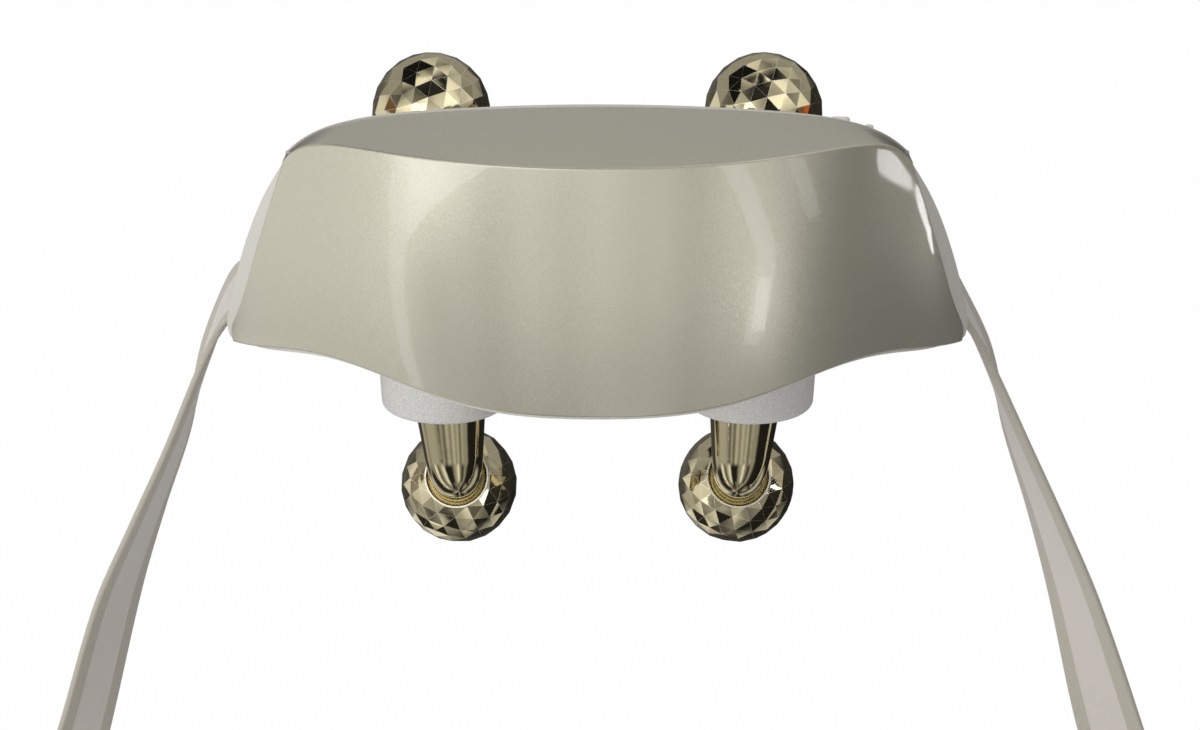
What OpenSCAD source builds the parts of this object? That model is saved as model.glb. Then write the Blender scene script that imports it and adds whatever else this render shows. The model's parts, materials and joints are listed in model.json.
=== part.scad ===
// Neck and shoulder massager, worn behind the neck and pulled down by two hand straps.
// A curved shell holds a chassis with two gearmotors. Each motor rocks a claw of two
// arms, and each arm carries a faceted kneading ball that spins freely.
// Origin: middle of the four balls, where the nape rests.
// +X is the wearer's right, +Y points at the wearer's neck, +Z is up.

/* [Body] */
// Radius of the curved front, seen from above
front_r = 130; // [127:1:133]
// How much the front bulges at mid height
bulge = 3.5; // [1:0.5:5]
// Height of the top edge above the origin, at the middle
crest_z = 73.1; // [70:0.1:75]
// Height of the lower edge, at the middle
low_z = -8.5; // [-10:0.1:-7]
// Rise of the arches in the lower edge beside the middle
arch_h = 9.5; // [6:0.5:11]
// Angle of the wing's tip at the lower edge
wing_a = 67.9; // [64:0.1:69]
// Angle of the wing's tip at the top edge
top_a = 49.7; // [47:0.1:52]
// Wall thickness of both covers
wall = 2.4; // [2:0.1:2.6]
// Width of the rear cover's border past the outer cover's ends
border_w = 4.6; // [4:0.1:6]

/* [Claws] */
// Distance of each claw's rocking axis from the middle
pivot_x = 49.25; // [47:0.25:51]
// Depth of the arms and pods behind the balls
arm_y = -20; // [-21:0.5:-19]
// Tilt of the claws in the stored pose
rest_tilt = 3.53; // [0:0.01:5]
// Height of each ball's middle above the rocking axis
ball_z = 64.1; // [62:0.1:66]
// Radius of a kneading ball over its corners
ball_r = 19; // [18.5:0.25:19.5]
// Radius of an arm where it leaves the yoke
arm_root_r = 12.4; // [11.5:0.1:12.5]
// Radius of an arm where it meets its ball
arm_tip_r = 8; // [7.5:0.1:8.5]
// Radius of the bend in an arm
arm_bend_r = 14; // [13:0.5:15]
// Angle that an arm turns through
arm_bend = 60; // [55:1:62]

/* [Pods] */
// Radius of a pod at mid height
pod_r = 21.2; // [20.6:0.1:21.6]
// Half height of a pod
pod_h = 28.7; // [28:0.1:29.5]

/* [Drive] */
// Tooth module of the gears
tooth_m = 1; // [1:1:1]
// Teeth on a full turn of the sector gear
sector_teeth = 60; // [60:1:60]
// Teeth on the drive pinion
pinion_teeth = 15; // [15:1:15]
// Radius of the pivot pins
pin_r = 3; // [2.5:0.5:3]

/* [Straps] */
// Width of a strap
strap_w = 24; // [24:1:24]
// Thickness of a strap
strap_t = 2.2; // [1.8:0.1:2.6]

/* [Hidden] */
pearl = [0.72, 0.71, 0.66];
soft_grey = [0.8, 0.8, 0.79];
gold = [0.72, 0.67, 0.53];
steel = [0.7, 0.7, 0.72];
nylon = [0.9, 0.88, 0.82];
board_green = [0.1, 0.35, 0.22];
webbing = [0.74, 0.71, 0.67];

// The body is laid out in polar form round an upright axis near the throat.
front_cy = 40;
mid_z = 32;
half_h = 41;
deck_y = -38;
rear_y = -33.5;
wing_in_r = 118;
rear_a = 51.4;
deck_half_w = (front_cy - deck_y) * tan(rear_a);
gap = 0.3;
lip = 3;
border_a = border_w / front_r * 180 / PI;
belly = 6;
fillet = 3;
grid_u = 32;
rows = [0, 0.02, 0.06, 0.16, 0.3, 0.46, 0.62, 0.77, 0.89, 0.96, 1];
grid_v = len(rows) - 1;

function lerp(a, b, t) = a + (b - a) * t;
function polar(a, r, z) = [r * sin(a), front_cy - r * cos(a), z];
function unit(v) = v / norm(v);
function barrel(z, u) = front_r - bulge * (1 - 0.8 * u * u) * pow((z - mid_z) / half_h, 2);
function side_of(i) = 2 * i / grid_u - 1;

// Outlines over u from -1 to 1 across the width, and v from 0 to 1 up the height.
function low_edge(u) = low_z + arch_h * pow(sin(145 * abs(u)), 4) - 2 * pow(abs(u), 6);
function top_edge(u) = crest_z - u * u - 10.8 * pow(abs(u), 12);
function end_a(v) = wing_a - (wing_a - top_a) * pow(v, 1.07) - 2.4 * pow(max(0, 1 - v / 0.08), 2);
function deck_edge_z(x) = 77.3 - 6 * pow(x / deck_half_w, 2) - 8.8 * pow(x / deck_half_w, 10);
function deck_edge(u, dy, dz) = let (y = deck_y + dy, x = (front_cy - y) * tan(u * rear_a))
    [x, y, deck_edge_z(min(deck_half_w, abs(x))) + dz];

// A point of the front, sunk by depth and drawn in from every edge by inset.
function front(i, j, depth, inset) = let (u = side_of(i), v = rows[j],
        z = lerp(low_edge(u) + inset, top_edge(u) - inset, v),
        a = u * (end_a(v) - inset / front_r * 180 / PI))
    polar(a, barrel(z, u) - depth, z);
// A point of the deck, from the crest at w = 0 to the rear edge at w = 1.
function deck(i, w, sink) = let (u = side_of(i), a = u * top_a, z = top_edge(u))
    lerp(polar(a, barrel(z, u), z), deck_edge(u, 0, 0), w) - [0, 0, sink];

// The border loop of a grid, and a closed cup between two grids joined by loops.
function rim(f) = concat([for (i = [0:grid_u]) f(i, 0)], [for (j = [1:grid_v]) f(grid_u, j)],
    [for (i = [grid_u - 1:-1:0]) f(i, grid_v)], [for (j = [grid_v - 1:-1:1]) f(0, j)]);
function sheet(f) = [for (i = [0:grid_u], j = [0:grid_v]) f(i, j)];
function sheet_faces(start, flip) = let (n = grid_v + 1) [for (i = [0:grid_u - 1], j = [0:grid_v - 1])
    let (a = start + i * n + j, b = a + n) each flip ? [[a, b + 1, b], [a, a + 1, b + 1]]
        : [[a, b, b + 1], [a, b + 1, a + 1]]];
function rim_index(start) = rim(function (i, j) start + i * (grid_v + 1) + j);
function ring_faces(a, b) = let (n = len(a)) [for (k = [0:n - 1]) let (m = (k + 1) % n)
    each [[a[k], b[k], b[m]], [a[k], b[m], a[m]]]];
module cup(first, loops, last, flip) {
    cells = (grid_u + 1) * (grid_v + 1);
    count = 2 * (grid_u + grid_v);
    rings = concat([rim_index(0)],
        [for (k = [0:len(loops) - 1]) [for (m = [0:count - 1]) cells + k * count + m]],
        [rim_index(cells + len(loops) * count)]);
    sides = [for (k = [0:len(rings) - 2]) each ring_faces(rings[k], rings[k + 1])];
    faces = concat(sheet_faces(0, false), sides, sheet_faces(cells + len(loops) * count, true));
    polyhedron(points = concat(first, [for (l = loops) each l], last),
        faces = flip ? [for (f = faces) [f[2], f[1], f[0]]] : faces, convexity = 6);
}

// A tube or bar through a list of equal closed sections.
module skin(sections) {
    n = len(sections[0]);
    last = len(sections) - 1;
    faces = concat([[for (k = [0:n - 1]) k]], [[for (k = [n - 1:-1:0]) last * n + k]],
        [for (s = [0:last - 1], k = [0:n - 1]) let (m = (k + 1) % n, a = s * n, b = a + n)
            each [[a + m, a + k, b + k], [a + m, b + k, b + m]]]);
    polyhedron(points = [for (s = sections) each s], faces = faces, convexity = 4);
}
module along_y(x, y, z, r, h) {
    translate([x, y, z]) rotate([-90, 0, 0]) cylinder(r = r, h = h, $fn = 48);
}

// Clearances on the radius: a thread or press seat, a shank that passes, a sunk screw head.
seat_fit = 0.02;
pass_fit = 0.2;
head_fit = 0.3;
// Where a hole through the chassis starts, and how long it is.
cut_y = -60;
cut_l = 20;

// Housing screws pass the rear cover and the chassis into bosses of the outer cover.
screw_r = 1.5;
screw_head_r = 2.8;
screw_head_h = 1.8;
screw_sink = 2;
screw_l = 20;
screw_places = [[80, 50], [80, 12], [-80, 50], [-80, 12], [0, 66]];
boss_r = 3.4;
boss_from_y = -100;
boss_sink = 1;
wing_half_w = 116;
edge_r = 0.7;
chassis_y = -50;
chassis_t = 2.5;

// Its rim runs over the deck on top, and round the lip at the ends and the lower edge.
function outer_loop(k) = rim(function (i, j) j == grid_v
    ? [deck(i, 0.02, 0), deck(i, 0.35, 0), deck(i, 0.7, 0), deck(i, 1, 0), deck(i, 1, wall),
        deck(i, 0.5, wall)][k]
    : [front(i, j, edge_r, 0), front(i, j, 2 * edge_r, 0), front(i, j, lip - 0.8, 0),
        front(i, j, lip, 0.1), front(i, j, lip, edge_r + 1), front(i, j, wall + 0.2, wall - 0.5)][k]);
module outer_cover() {
    color(pearl) union() {
        cup(sheet(function (i, j) front(i, j, 0, edge_r)), [for (k = [0:5]) outer_loop(k)],
            sheet(function (i, j) front(i, j, wall, wall)), true);
        for (p = screw_places) screw_boss(p);
    }
}
module screw_boss(p) {
    difference() {
        intersection() {
            along_y(p[0], boss_from_y, p[1], boss_r, chassis_y - boss_from_y);
            translate([0, front_cy, -20])
                cylinder(r = barrel(p[1], p[0] / wing_half_w) - boss_sink, h = 120, $fn = 128);
        }
        along_y(p[0], chassis_y - cut_l / 2, p[1], screw_r + seat_fit, cut_l);
    }
}

// The rear cover is a tray: neck wall, underside, end borders and a thin rim behind the deck.
// The neck wall is flat as far as bend_a, turns, and then follows the wing's arc. Columns of
// the grid keep to the turn, and tray_u says how far out a column starts at the lower edge.
bend_a = 49;
bend_u = 0.75;
bend_span = 5.3;
corner_drop = 4.4;
flat_r = (front_cy - rear_y) / cos(bend_a);
function neck_r(a) = a < bend_a ? (front_cy - rear_y) / cos(a)
    : wing_in_r - (wing_in_r - flat_r) * pow(max(0, 1 - (a - bend_a) / bend_span), 2);
function slant(a) = lerp(1 / cos(min(a, 45)), 1, min(1, max(0, (a - 45) / 10)));
function tray_end(v, grow) = end_a(v) + (rear_a - top_a) * pow(v, 16) + grow * (1 - 0.8 * pow(v, 6));
function tray_a(i, v, grow) = let (u = abs(side_of(i)), s = pow(max(0, u - bend_u) / (1 - bend_u), 1.5))
    sign(side_of(i)) * (u <= bend_u ? bend_a * u / bend_u : lerp(bend_a, tray_end(v, grow), s));
function tray_u(i) = tray_a(i, 0, 0) / end_a(0);
function tray_low(u) = low_edge(u) - belly * (1 - pow(abs(u), 4));
function tray_top(i) = let (x = (front_cy - deck_y) * tan(abs(tray_a(i, 1, border_a))))
    deck_edge_z(min(deck_half_w, x)) + 0.4;
function neck(i, j, depth, inset) = let (v = rows[j],
        a = tray_a(i, v, border_a - inset / wing_in_r * 180 / PI),
        z = lerp(tray_low(tray_u(i)) + inset, tray_top(i) - inset, v))
    polar(a, neck_r(abs(a)) + depth * slant(abs(a)), z);
function tray_front(i, j, depth, grow, lift) = let (u = tray_u(i), v = rows[j],
        z = lerp(low_edge(u) + lift, top_edge(u), v))
    polar(tray_a(i, v, grow), barrel(z, u) - depth - corner_drop * pow(v, 12), z);
function tray_rim(i, dy, dz) = deck_edge(tray_a(i, 1, border_a) / rear_a, dy, dz);
function tray_loop(k) = rim(function (i, j)
    let (top = j == grid_v && i > 0 && i < grid_u, base = j == 0)
    top ? [neck(i, j, 0.9, 0.9), tray_rim(i, 1.5, 0.4), tray_rim(i, gap, 0.4),
            tray_rim(i, gap, 0.2), tray_rim(i, gap, -1.6), tray_rim(i, gap + 0.1, -2.4),
            tray_rim(i, gap + 0.2, -3)][k]
        : base ? [neck(i, j, 0.9, 0.9), neck(i, j, fillet, 0), tray_front(i, j, lip + gap, -0.6, 0),
            tray_front(i, j, lip + gap - 0.1, -0.7, 0.8), tray_front(i, j, lip + gap, -0.8, 2.2),
            tray_front(i, j, lip + 1, -0.9, 2.6), tray_front(i, j, lip + 4, -1.2, 2)][k]
        : [neck(i, j, 0.9, 0.9), neck(i, j, fillet, 0), tray_front(i, j, 1.6, border_a, 0),
            tray_front(i, j, 0.7, border_a - 0.5, 0), tray_front(i, j, 0.7, 0.14, 0),
            tray_front(i, j, lip + gap, 0.1, 0), tray_front(i, j, lip + gap + 0.1, -1, 0)][k]);
// Screw sleeves stand on its neck wall, and a chin under each claw hub clears the hub.
sleeve_l = 12.4;
chin_r = 8.2;
chin_wall = 1.6;
chin_l = 18;
chin_top = -1.5;
window_gap = 0.35;
socket_hole = [9.8, 4];
button_gap = 0.25;
module rear_cover() {
    color(soft_grey) difference() {
        union() {
            cup(sheet(function (i, j) neck(i, j, 0, fillet)), [for (k = [0:6]) tray_loop(k)],
                sheet(function (i, j) neck(i, j, wall, fillet + 1)), false);
            for (p = screw_places) along_y(p[0], chassis_y + chassis_t, p[1], boss_r, sleeve_l);
            for (side = [-1, 1]) difference() {
                along_y(side * pivot_x, chassis_y - 4, 0, chin_r + chin_wall, chin_l);
                translate([side * pivot_x - 20, cut_y, chin_top]) cube([40, 40, 20]);
            }
        }
        for (p = screw_places) {
            along_y(p[0], cut_y, p[1], screw_r + pass_fit, 30);
            along_y(p[0], rear_y - screw_sink, p[1], screw_head_r + head_fit, 10);
        }
        for (side = [-1, 1]) {
            along_y(side * pivot_x, chassis_y - 4 + chin_wall, 0, chin_r, 20);
            side_place(side) at_anchor() anchor_pins(anchor_pin_r + 0.03);
            translate([side * pivot_x, arm_y, 0]) rotate_extrude($fn = 96) polygon(pod_window(window_gap));
            side_place(side) strap_slot();
        }
        translate([0, socket_y, -20]) linear_extrude(20) stadium(socket_hole[0], socket_hole[1]);
        at_button(power_x) {
            linear_extrude(cap_cut, center = true)
                stadium(power_w + 2 * button_gap, power_h + 2 * button_gap);
            translate([0, 0, pocket_end]) linear_extrude(pocket_l)
                stadium(power_w + 2 * (flange_w + head_fit), power_h + 2 * head_fit);
        }
        at_button(mode_x) {
            cylinder(r = mode_r + button_gap, h = cap_cut, center = true, $fn = 32);
            translate([0, 0, pocket_end])
                cylinder(r = mode_r + mode_flange + head_fit, h = pocket_l, $fn = 32);
        }
    }
}
module side_place(side) {
    if (side > 0) children();
    else mirror([1, 0, 0]) children();
}
module stadium(w, h) {
    square([w - h, h], center = true);
    for (s = [-1, 1]) translate([s * (w - h) / 2, 0]) circle(d = h, $fn = 32);
}

// Chassis: one plate across the body, with standoffs, a socket shelf and a button shelf.
board_y = -56;
board_places = [[-27, 49], [27, 49], [-27, 58.5], [27, 58.5]];
board_screw_r = 1;
standoff_r = 2.4;
shelf = [20, 23.5, 1.8];
foot = [12, 6, 2.2];
ledge = [15, 3.6, 1.5];
hub_ring_r = 6.8;
motor_screw_d = 8;
motor_screw_r = board_screw_r + seat_fit;
light_hole_r = 6;
cell_hole_r = 9;
motor_z = tooth_m * (sector_teeth + pinion_teeth) / 2;
pod_screw_dx = 11.5;
pod_screw_z = 5;
module chassis() {
    plate = [[-84, 12], [-76, 6], [-66, 3.6], [-56, -1.2], [-38, -1.2], [-36, -5], [36, -5],
        [38, -1.2], [56, -1.2], [66, 3.6], [76, 6], [84, 12], [86, 52], [85, 65.5], [72, 65.5], [68, 59],
        [14, 60], [8, 70], [-8, 70], [-14, 60], [-80, 59], [-86, 52]];
    color(nylon) difference() {
        union() {
            translate([0, chassis_y + chassis_t, 0]) rotate([90, 0, 0]) linear_extrude(chassis_t) {
                polygon(plate);
                for (side = [-1, 1]) translate([side * pivot_x, 0]) circle(r = hub_ring_r, $fn = 64);
            }
            for (p = board_places)
                along_y(p[0], board_y, p[1], standoff_r, chassis_y - board_y + 0.5);
            translate([-shelf[0] / 2, chassis_y + 0.5 - shelf[1], 0]) cube(shelf);
            translate([72.8, chassis_y + 0.5, 60.5]) cube(foot);
            at_button((power_x + mode_x) / 2) translate([-8, -2.6, board_level - 2.6]) cube(ledge);
        }
        for (p = screw_places) along_y(p[0], cut_y, p[1], screw_r + pass_fit, cut_l);
        for (p = board_places) along_y(p[0], board_y - 1, p[1], board_screw_r + seat_fit, cut_l);
        for (side = [-1, 1]) {
            along_y(side * pivot_x, cut_y, 0, pin_r + seat_fit, cut_l);
            along_y(side * pivot_x, cut_y, motor_z, motor_nose_r + 0.1, cut_l);
            for (dx = [-pod_screw_dx, pod_screw_dx])
                along_y(side * pivot_x + dx, cut_y, pod_screw_z, screw_r + pass_fit, cut_l);
            for (d = [-motor_screw_d, motor_screw_d])
                along_y(side * pivot_x + d, cut_y, motor_z + motor_screw_d, motor_screw_r, cut_l);
            along_y(side * 69, cut_y, 30, light_hole_r, cut_l);
        }
        along_y(0, cut_y, 22, cell_hole_r, cut_l);
    }
}

// Two cells in one wrap, held to the chassis by two bands.
cell_r = 9.1;
cell_l = 65;
cell_y = chassis_y - cell_r - 0.2;
cell_z = [12.5, 31.5];
band_w = 7;
band_t = 1.2;
band_foot = [-2, 48];
module cell_shape(r, w) {
    translate([-w / 2, cell_y, 0]) rotate([90, 0, 90]) linear_extrude(w) {
        for (z = cell_z) translate([0, z]) circle(r = r, $fn = 64);
        translate([-r, cell_z[0]]) square([2 * r, cell_z[1] - cell_z[0]]);
    }
}
module battery_pack() {
    color([0.22, 0.36, 0.62]) cell_shape(cell_r, cell_l);
}
module battery_bracket() {
    color(steel) for (x = [-18, 18]) translate([x, 0, 0]) difference() {
        union() {
            cell_shape(cell_r + band_t, band_w);
            translate([-band_w / 2, chassis_y - band_t, band_foot[0]]) cube([band_w, band_t, band_foot[1]]);
        }
        cell_shape(cell_r + 0.05, band_w + 3);
        translate([-5, chassis_y, -10]) cube([10, 10, 70]);
    }
}

// The main board carries its controller, three capacitors and two power switches.
board = [62, 1.6, 15.4];
board_z = 46;
chip = [10, 1.6, 10];
capacitor_x = [-20, -13, 13];
capacitor_r = 2.6;
capacitor_h = 6;
switch_x = [18, 25];
switch_w = 5;
module main_board() {
    color(board_green) difference() {
        union() {
            translate([-board[0] / 2, board_y - board[1], board_z]) cube(board);
            translate([-chip[0] / 2, board_y - board[1] - 1.4, board_z + 3]) cube(chip);
            for (x = capacitor_x)
                along_y(x, board_y - 1 - capacitor_h, board_z + 7, capacitor_r, capacitor_h);
            for (x = switch_x) translate([x - 3, board_y - 1 - switch_w, board_z + 5.5])
                cube([switch_w, switch_w, switch_w]);
        }
        for (p = board_places) along_y(p[0], board_y - 5, p[1], board_screw_r + 0.1, 10);
    }
}

// Charging socket, mouth down through the underside.
socket_y = -66;
socket_end = -10.4;
socket_w = 9;
socket_h = 3.2;
socket_wall = 0.4;
socket_board = [18, 12, 1.4];
tongue = [6.4, 0.7, 7];
module charge_socket() {
    color(steel) translate([0, socket_y, 0]) union() {
        translate([-socket_board[0] / 2, -socket_board[1] / 2, -socket_board[2]]) cube(socket_board);
        difference() {
            translate([0, 0, socket_end]) linear_extrude(-1 - socket_end) stadium(socket_w, socket_h);
            translate([0, 0, -11]) linear_extrude(7)
                stadium(socket_w - 2 * socket_wall, socket_h - 2 * socket_wall);
        }
        translate([-tongue[0] / 2, -tongue[1] / 2, -9.8]) cube(tongue);
    }
}

// Two push buttons on the rear cover's shoulder, pressed towards their switches. Their
// frame has its z axis out of the shoulder, and z = 0 on the shoulder's surface.
power_x = 76.2;
power_w = 6.4;
power_h = 3.4;
mode_x = 85.4;
mode_r = 1.5;
button_rise = 1;
flange_top = -4.5;
flange_t = 1.2;
flange_w = 0.6;
mode_flange = 0.4;
stem_r = 1.1;
stem_end = -8.6;
board_level = -10.6;
pocket_end = -9;
pocket_l = flange_top + 0.05 - pocket_end;
cap_cut = 9.2;
module at_button(x) {
    translate([x, rear_y, deck_edge_z(x) - 1]) rotate([-45, 0, 0]) children();
}
module power_button() {
    color(soft_grey) at_button(power_x) {
        translate([0, 0, flange_top]) linear_extrude(button_rise - flange_top) stadium(power_w, power_h);
        translate([0, 0, flange_top - flange_t]) linear_extrude(flange_t)
            stadium(power_w + 2 * flange_w, power_h);
        translate([0, 0, stem_end]) cylinder(r = stem_r, h = flange_top - stem_end, $fn = 32);
    }
}
module mode_button() {
    color(soft_grey) at_button(mode_x) {
        translate([0, 0, flange_top]) cylinder(r = mode_r, h = button_rise - flange_top, $fn = 32);
        translate([0, 0, flange_top - flange_t]) cylinder(r = mode_r + mode_flange, h = flange_t, $fn = 32);
        translate([0, 0, stem_end]) cylinder(r = stem_r, h = flange_top - stem_end, $fn = 32);
    }
}

// The switches stand on a board of their own, on the chassis's ledge.
button_board_size = [15, 5.2, 1.1];
push_w = 4.4;
module push_switch(from, h) {
    translate([-push_w / 2, -push_w / 2, board_level + from]) cube([push_w, push_w, h]);
}
module button_board() {
    color(board_green) difference() {
        union() {
            at_button((power_x + mode_x) / 2) translate([-8, -2.6, board_level - 1.1])
                cube(button_board_size);
            at_button(power_x) push_switch(-1.1, 3.4);
            at_button(mode_x) push_switch(0.8, 2.2);
        }
        for (x = [power_x, mode_x]) at_button(x)
            translate([0, 0, stem_end - 0.9]) cylinder(r = stem_r + 0.1, h = 4, $fn = 32);
    }
}

// Gearmotors, their pins and the fasteners.
motor_r = 11.8;
motor_l = 17.5;
motor_cap_r = 6;
motor_nose_r = 4;
shaft_r = 1.5;
shaft_in = 11;
pin_l = 47.8;
pin_head_r = 4.6;
pin_head_h = 1.5;
module motor(side) {
    color(steel) difference() {
        union() {
            along_y(side * pivot_x, chassis_y - motor_l, motor_z, motor_r, motor_l);
            along_y(side * pivot_x, chassis_y - motor_l - 2, motor_z, motor_cap_r, 3);
            along_y(side * pivot_x, chassis_y - 1, motor_z, motor_nose_r, 1 + chassis_t);
        }
        along_y(side * pivot_x, chassis_y - shaft_in - 1, motor_z, shaft_r + 0.06, cut_l);
        for (d = [-motor_screw_d, motor_screw_d])
            along_y(side * pivot_x + d, chassis_y - 5, motor_z + motor_screw_d, motor_screw_r, cut_l);
    }
}
module pivot_pins() {
    color(steel) for (side = [-1, 1]) {
        along_y(side * pivot_x, chassis_y, 0, pin_r, pin_l);
        along_y(side * pivot_x, chassis_y - pin_head_h, 0, pin_head_r, pin_head_h);
    }
}
module screw(x, head_y, z, r, head_r, head_h, length) {
    along_y(x, head_y - length, z, r, length);
    along_y(x, head_y, z, head_r, head_h);
}
module housing_screws() {
    color(steel) for (p = screw_places)
        screw(p[0], rear_y - screw_sink, p[1], screw_r, screw_head_r, screw_head_h, screw_l);
}
module front_screw(x, head_y, z, r, head_r, head_h, length) {
    along_y(x, head_y, z, r, length);
    along_y(x, head_y - head_h, z, head_r, head_h);
}
module board_screws() {
    color(steel) for (p = board_places)
        front_screw(p[0], board_y - board[1], p[1], board_screw_r, 1.9, 1.2, 6);
}
module pod_screws() {
    color(steel) for (side = [-1, 1], dx = [-pod_screw_dx, pod_screw_dx])
        front_screw(side * pivot_x + dx, chassis_y, pod_screw_z, screw_r, screw_head_r, screw_head_h, 8.5);
}

// Pods: drums with rounded rims, drafted above and below a plain band, and slotted at both
// ends for the arms.
pod_draft = 1;
pod_rim = 2.2;
pod_wall = 2;
pod_band = 9;
slot_r = 12;
slot_shift = 5.3;
pod_boss_r = 2.7;
pod_boss_l = 17.5;
pin_boss_r = 5;
pin_boss_y = 14;
hub_hole_r = 7.4;
function pod_outline(t) = let (h = pod_h - t, e = pod_r - pod_draft - t, f = max(0.3, pod_rim - t),
        corner = [for (k = [0:15:90]) [e - f + f * sin(k), h - f + f * cos(k)]])
    concat([[0, h]], corner, [[pod_r - t, pod_band], [pod_r - t, -pod_band]],
        [for (k = [6:-1:0]) [corner[k][0], -corner[k][1]]],
        [[0, -h]]);
function pod_window(t) = concat([for (k = [0:8]) pod_outline(-t)[k]], [[pod_r + t, -40], [0, -40]]);
function reversed(list) = [for (k = [len(list) - 1:-1:0]) list[k]];
module pod(side) {
    color(soft_grey) translate([side * pivot_x, arm_y, 0]) difference() {
        union() {
            rotate_extrude($fn = 96) polygon(concat(pod_outline(0), reversed(pod_outline(pod_wall))));
            along_y(0, pin_boss_y, 0, pin_boss_r, pod_r - pin_boss_y - 1);
            for (dx = [-pod_screw_dx, pod_screw_dx])
                along_y(dx, chassis_y + chassis_t - arm_y, pod_screw_z, pod_boss_r, pod_boss_l);
        }
        translate([0, 0, -40]) linear_extrude(80) stadium(2 * (slot_r + slot_shift), 2 * slot_r);
        along_y(0, -30, 0, hub_hole_r, 20);
        along_y(0, 0, 0, pin_r + seat_fit, 18);
        for (dx = [-pod_screw_dx, pod_screw_dx]) along_y(dx, -30, pod_screw_z, screw_r + seat_fit, 12);
    }
}

// Claws are drawn upright round the rocking axis, then tilted into the stored pose.
gear_y = -42.2;
gear_t = 3.8;
hub_r = 6.6;
hub_step_r = 5.6;
hub_end_y = -7;
cross_seat_y = arm_y - 7.2;
post_r = 8.2;
post_top = 20;
spigot_r = 5;
cross_z = 15.5;
cross_head_r = 2.6;
cross_head_h = 1.5;
cross_l = 11;
bush_r = 4.5;
bush_flange_r = 6.2;
gear_bush_l = 6.6;
end_bush_l = 5.8;
washer_r = 5.2;
washer_t = 0.8;
pin_play = 0.05;
ball_gap = 14.1;
module claw_place(side) {
    translate([side * pivot_x, 0, 0]) rotate([0, side * rest_tilt, 0]) children();
}
module upper_or_lower(up) {
    if (up > 0) children();
    else mirror([0, 0, 1]) children();
}
module yoke(side) {
    color(nylon) claw_place(side) difference() {
        union() {
            along_y(0, gear_y, 0, hub_r, hub_end_y - gear_y);
            along_y(0, gear_y - gear_t, 0, hub_step_r, gear_t + 1);
            for (up = [-1, 1]) upper_or_lower(up) translate([0, arm_y, 0])
                cylinder(r = post_r, h = post_top, $fn = 48);
        }
        along_y(0, cut_y, 0, pin_r + 0.6, -cut_y);
        along_y(0, cut_y, 0, bush_r + seat_fit, gear_y + 3 - cut_y);
        along_y(0, hub_end_y - 6, 0, bush_r + seat_fit, 10);
        for (up = [-1, 1]) upper_or_lower(up) {
            translate([0, arm_y, 11]) cylinder(r = spigot_r + 0.03, h = 20, $fn = 48);
            along_y(0, -40, cross_z, screw_r + seat_fit, 30);
            along_y(0, -40, cross_z, cross_head_r + pass_fit, 40 + cross_seat_y);
        }
    }
}
module claw_hardware(side) {
    color(steel) claw_place(side) {
        bush(gear_y - gear_t, gear_bush_l, gear_y - gear_t - 1.4);
        bush(hub_end_y - end_bush_l, end_bush_l, hub_end_y);
        for (up = [-1, 1]) upper_or_lower(up) {
            front_screw(0, cross_seat_y, cross_z, screw_r, cross_head_r, cross_head_h, cross_l);
            at_ball() translate([0, 0, 0.05]) tube(washer_r, spindle_r + seat_fit, washer_t);
        }
    }
}
module bush(y, h, flange_y) {
    flange_h = flange_y < y ? y - flange_y : 0.9;
    difference() {
        union() {
            along_y(0, y, 0, bush_r, h);
            along_y(0, flange_y, 0, bush_flange_r, flange_h);
        }
        along_y(0, y - 5, 0, pin_r + pin_play, h + 10);
    }
}
module tube(outer, inner, h) {
    difference() {
        cylinder(r = outer, h = h, $fn = 48);
        translate([0, 0, -1]) cylinder(r = inner, h = h + 2, $fn = 48);
    }
}

// Involute teeth, tooth k centred at k pitches round from the top.
function involute(r, base) = tan(acos(base / r)) * 180 / PI - acos(base / r);
function tooth_half(r, n) = let (pitch = n * tooth_m / 2, base = pitch * cos(20))
    90 / n + involute(pitch, base) - involute(max(r, base), base) - 0.05 / pitch * 180 / PI;
tooth_levels = [-1.25, -0.6, 0, 0.5, 0.95] * tooth_m;
gear_hub_r = 7.4;
gear_window_r = 4;
gear_window_z = 17;
function flank(k, n, level, way) = let (r = n * tooth_m / 2 + level,
        a = 360 * k / n + way * tooth_half(r, n))
    [r * sin(a), r * cos(a)];
function tooth(k, n) = concat([for (level = tooth_levels) flank(k, n, level, -1)],
    [for (level = reversed(tooth_levels)) flank(k, n, level, 1)]);
module claw_gear(side) {
    color(nylon) claw_place(side) translate([0, gear_y, 0]) rotate([90, 0, 0]) difference() {
        union() {
            linear_extrude(gear_t)
                polygon(concat([[-5, 3]], [for (k = [-3:3]) each tooth(k, sector_teeth)], [[5, 3]]));
            cylinder(r = gear_hub_r, h = gear_t, $fn = 64);
        }
        translate([0, 0, -1]) cylinder(r = hub_step_r + seat_fit, h = 10, $fn = 64);
        translate([0, gear_window_z, -1]) cylinder(r = gear_window_r, h = 10, $fn = 32);
    }
}
module drive_pinion(side) {
    phase = side * rest_tilt * sector_teeth / pinion_teeth + 180 / pinion_teeth;
    color(steel) translate([side * pivot_x, gear_y, motor_z]) {
        rotate([90, 0, 0]) rotate([0, 0, 180 + phase]) linear_extrude(gear_t)
            polygon([for (k = [0:pinion_teeth - 1]) each tooth(k, pinion_teeth)]);
        along_y(0, chassis_y - shaft_in - gear_y, 0, shaft_r, shaft_in - chassis_y + gear_y + 0.6);
    }
}

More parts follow.
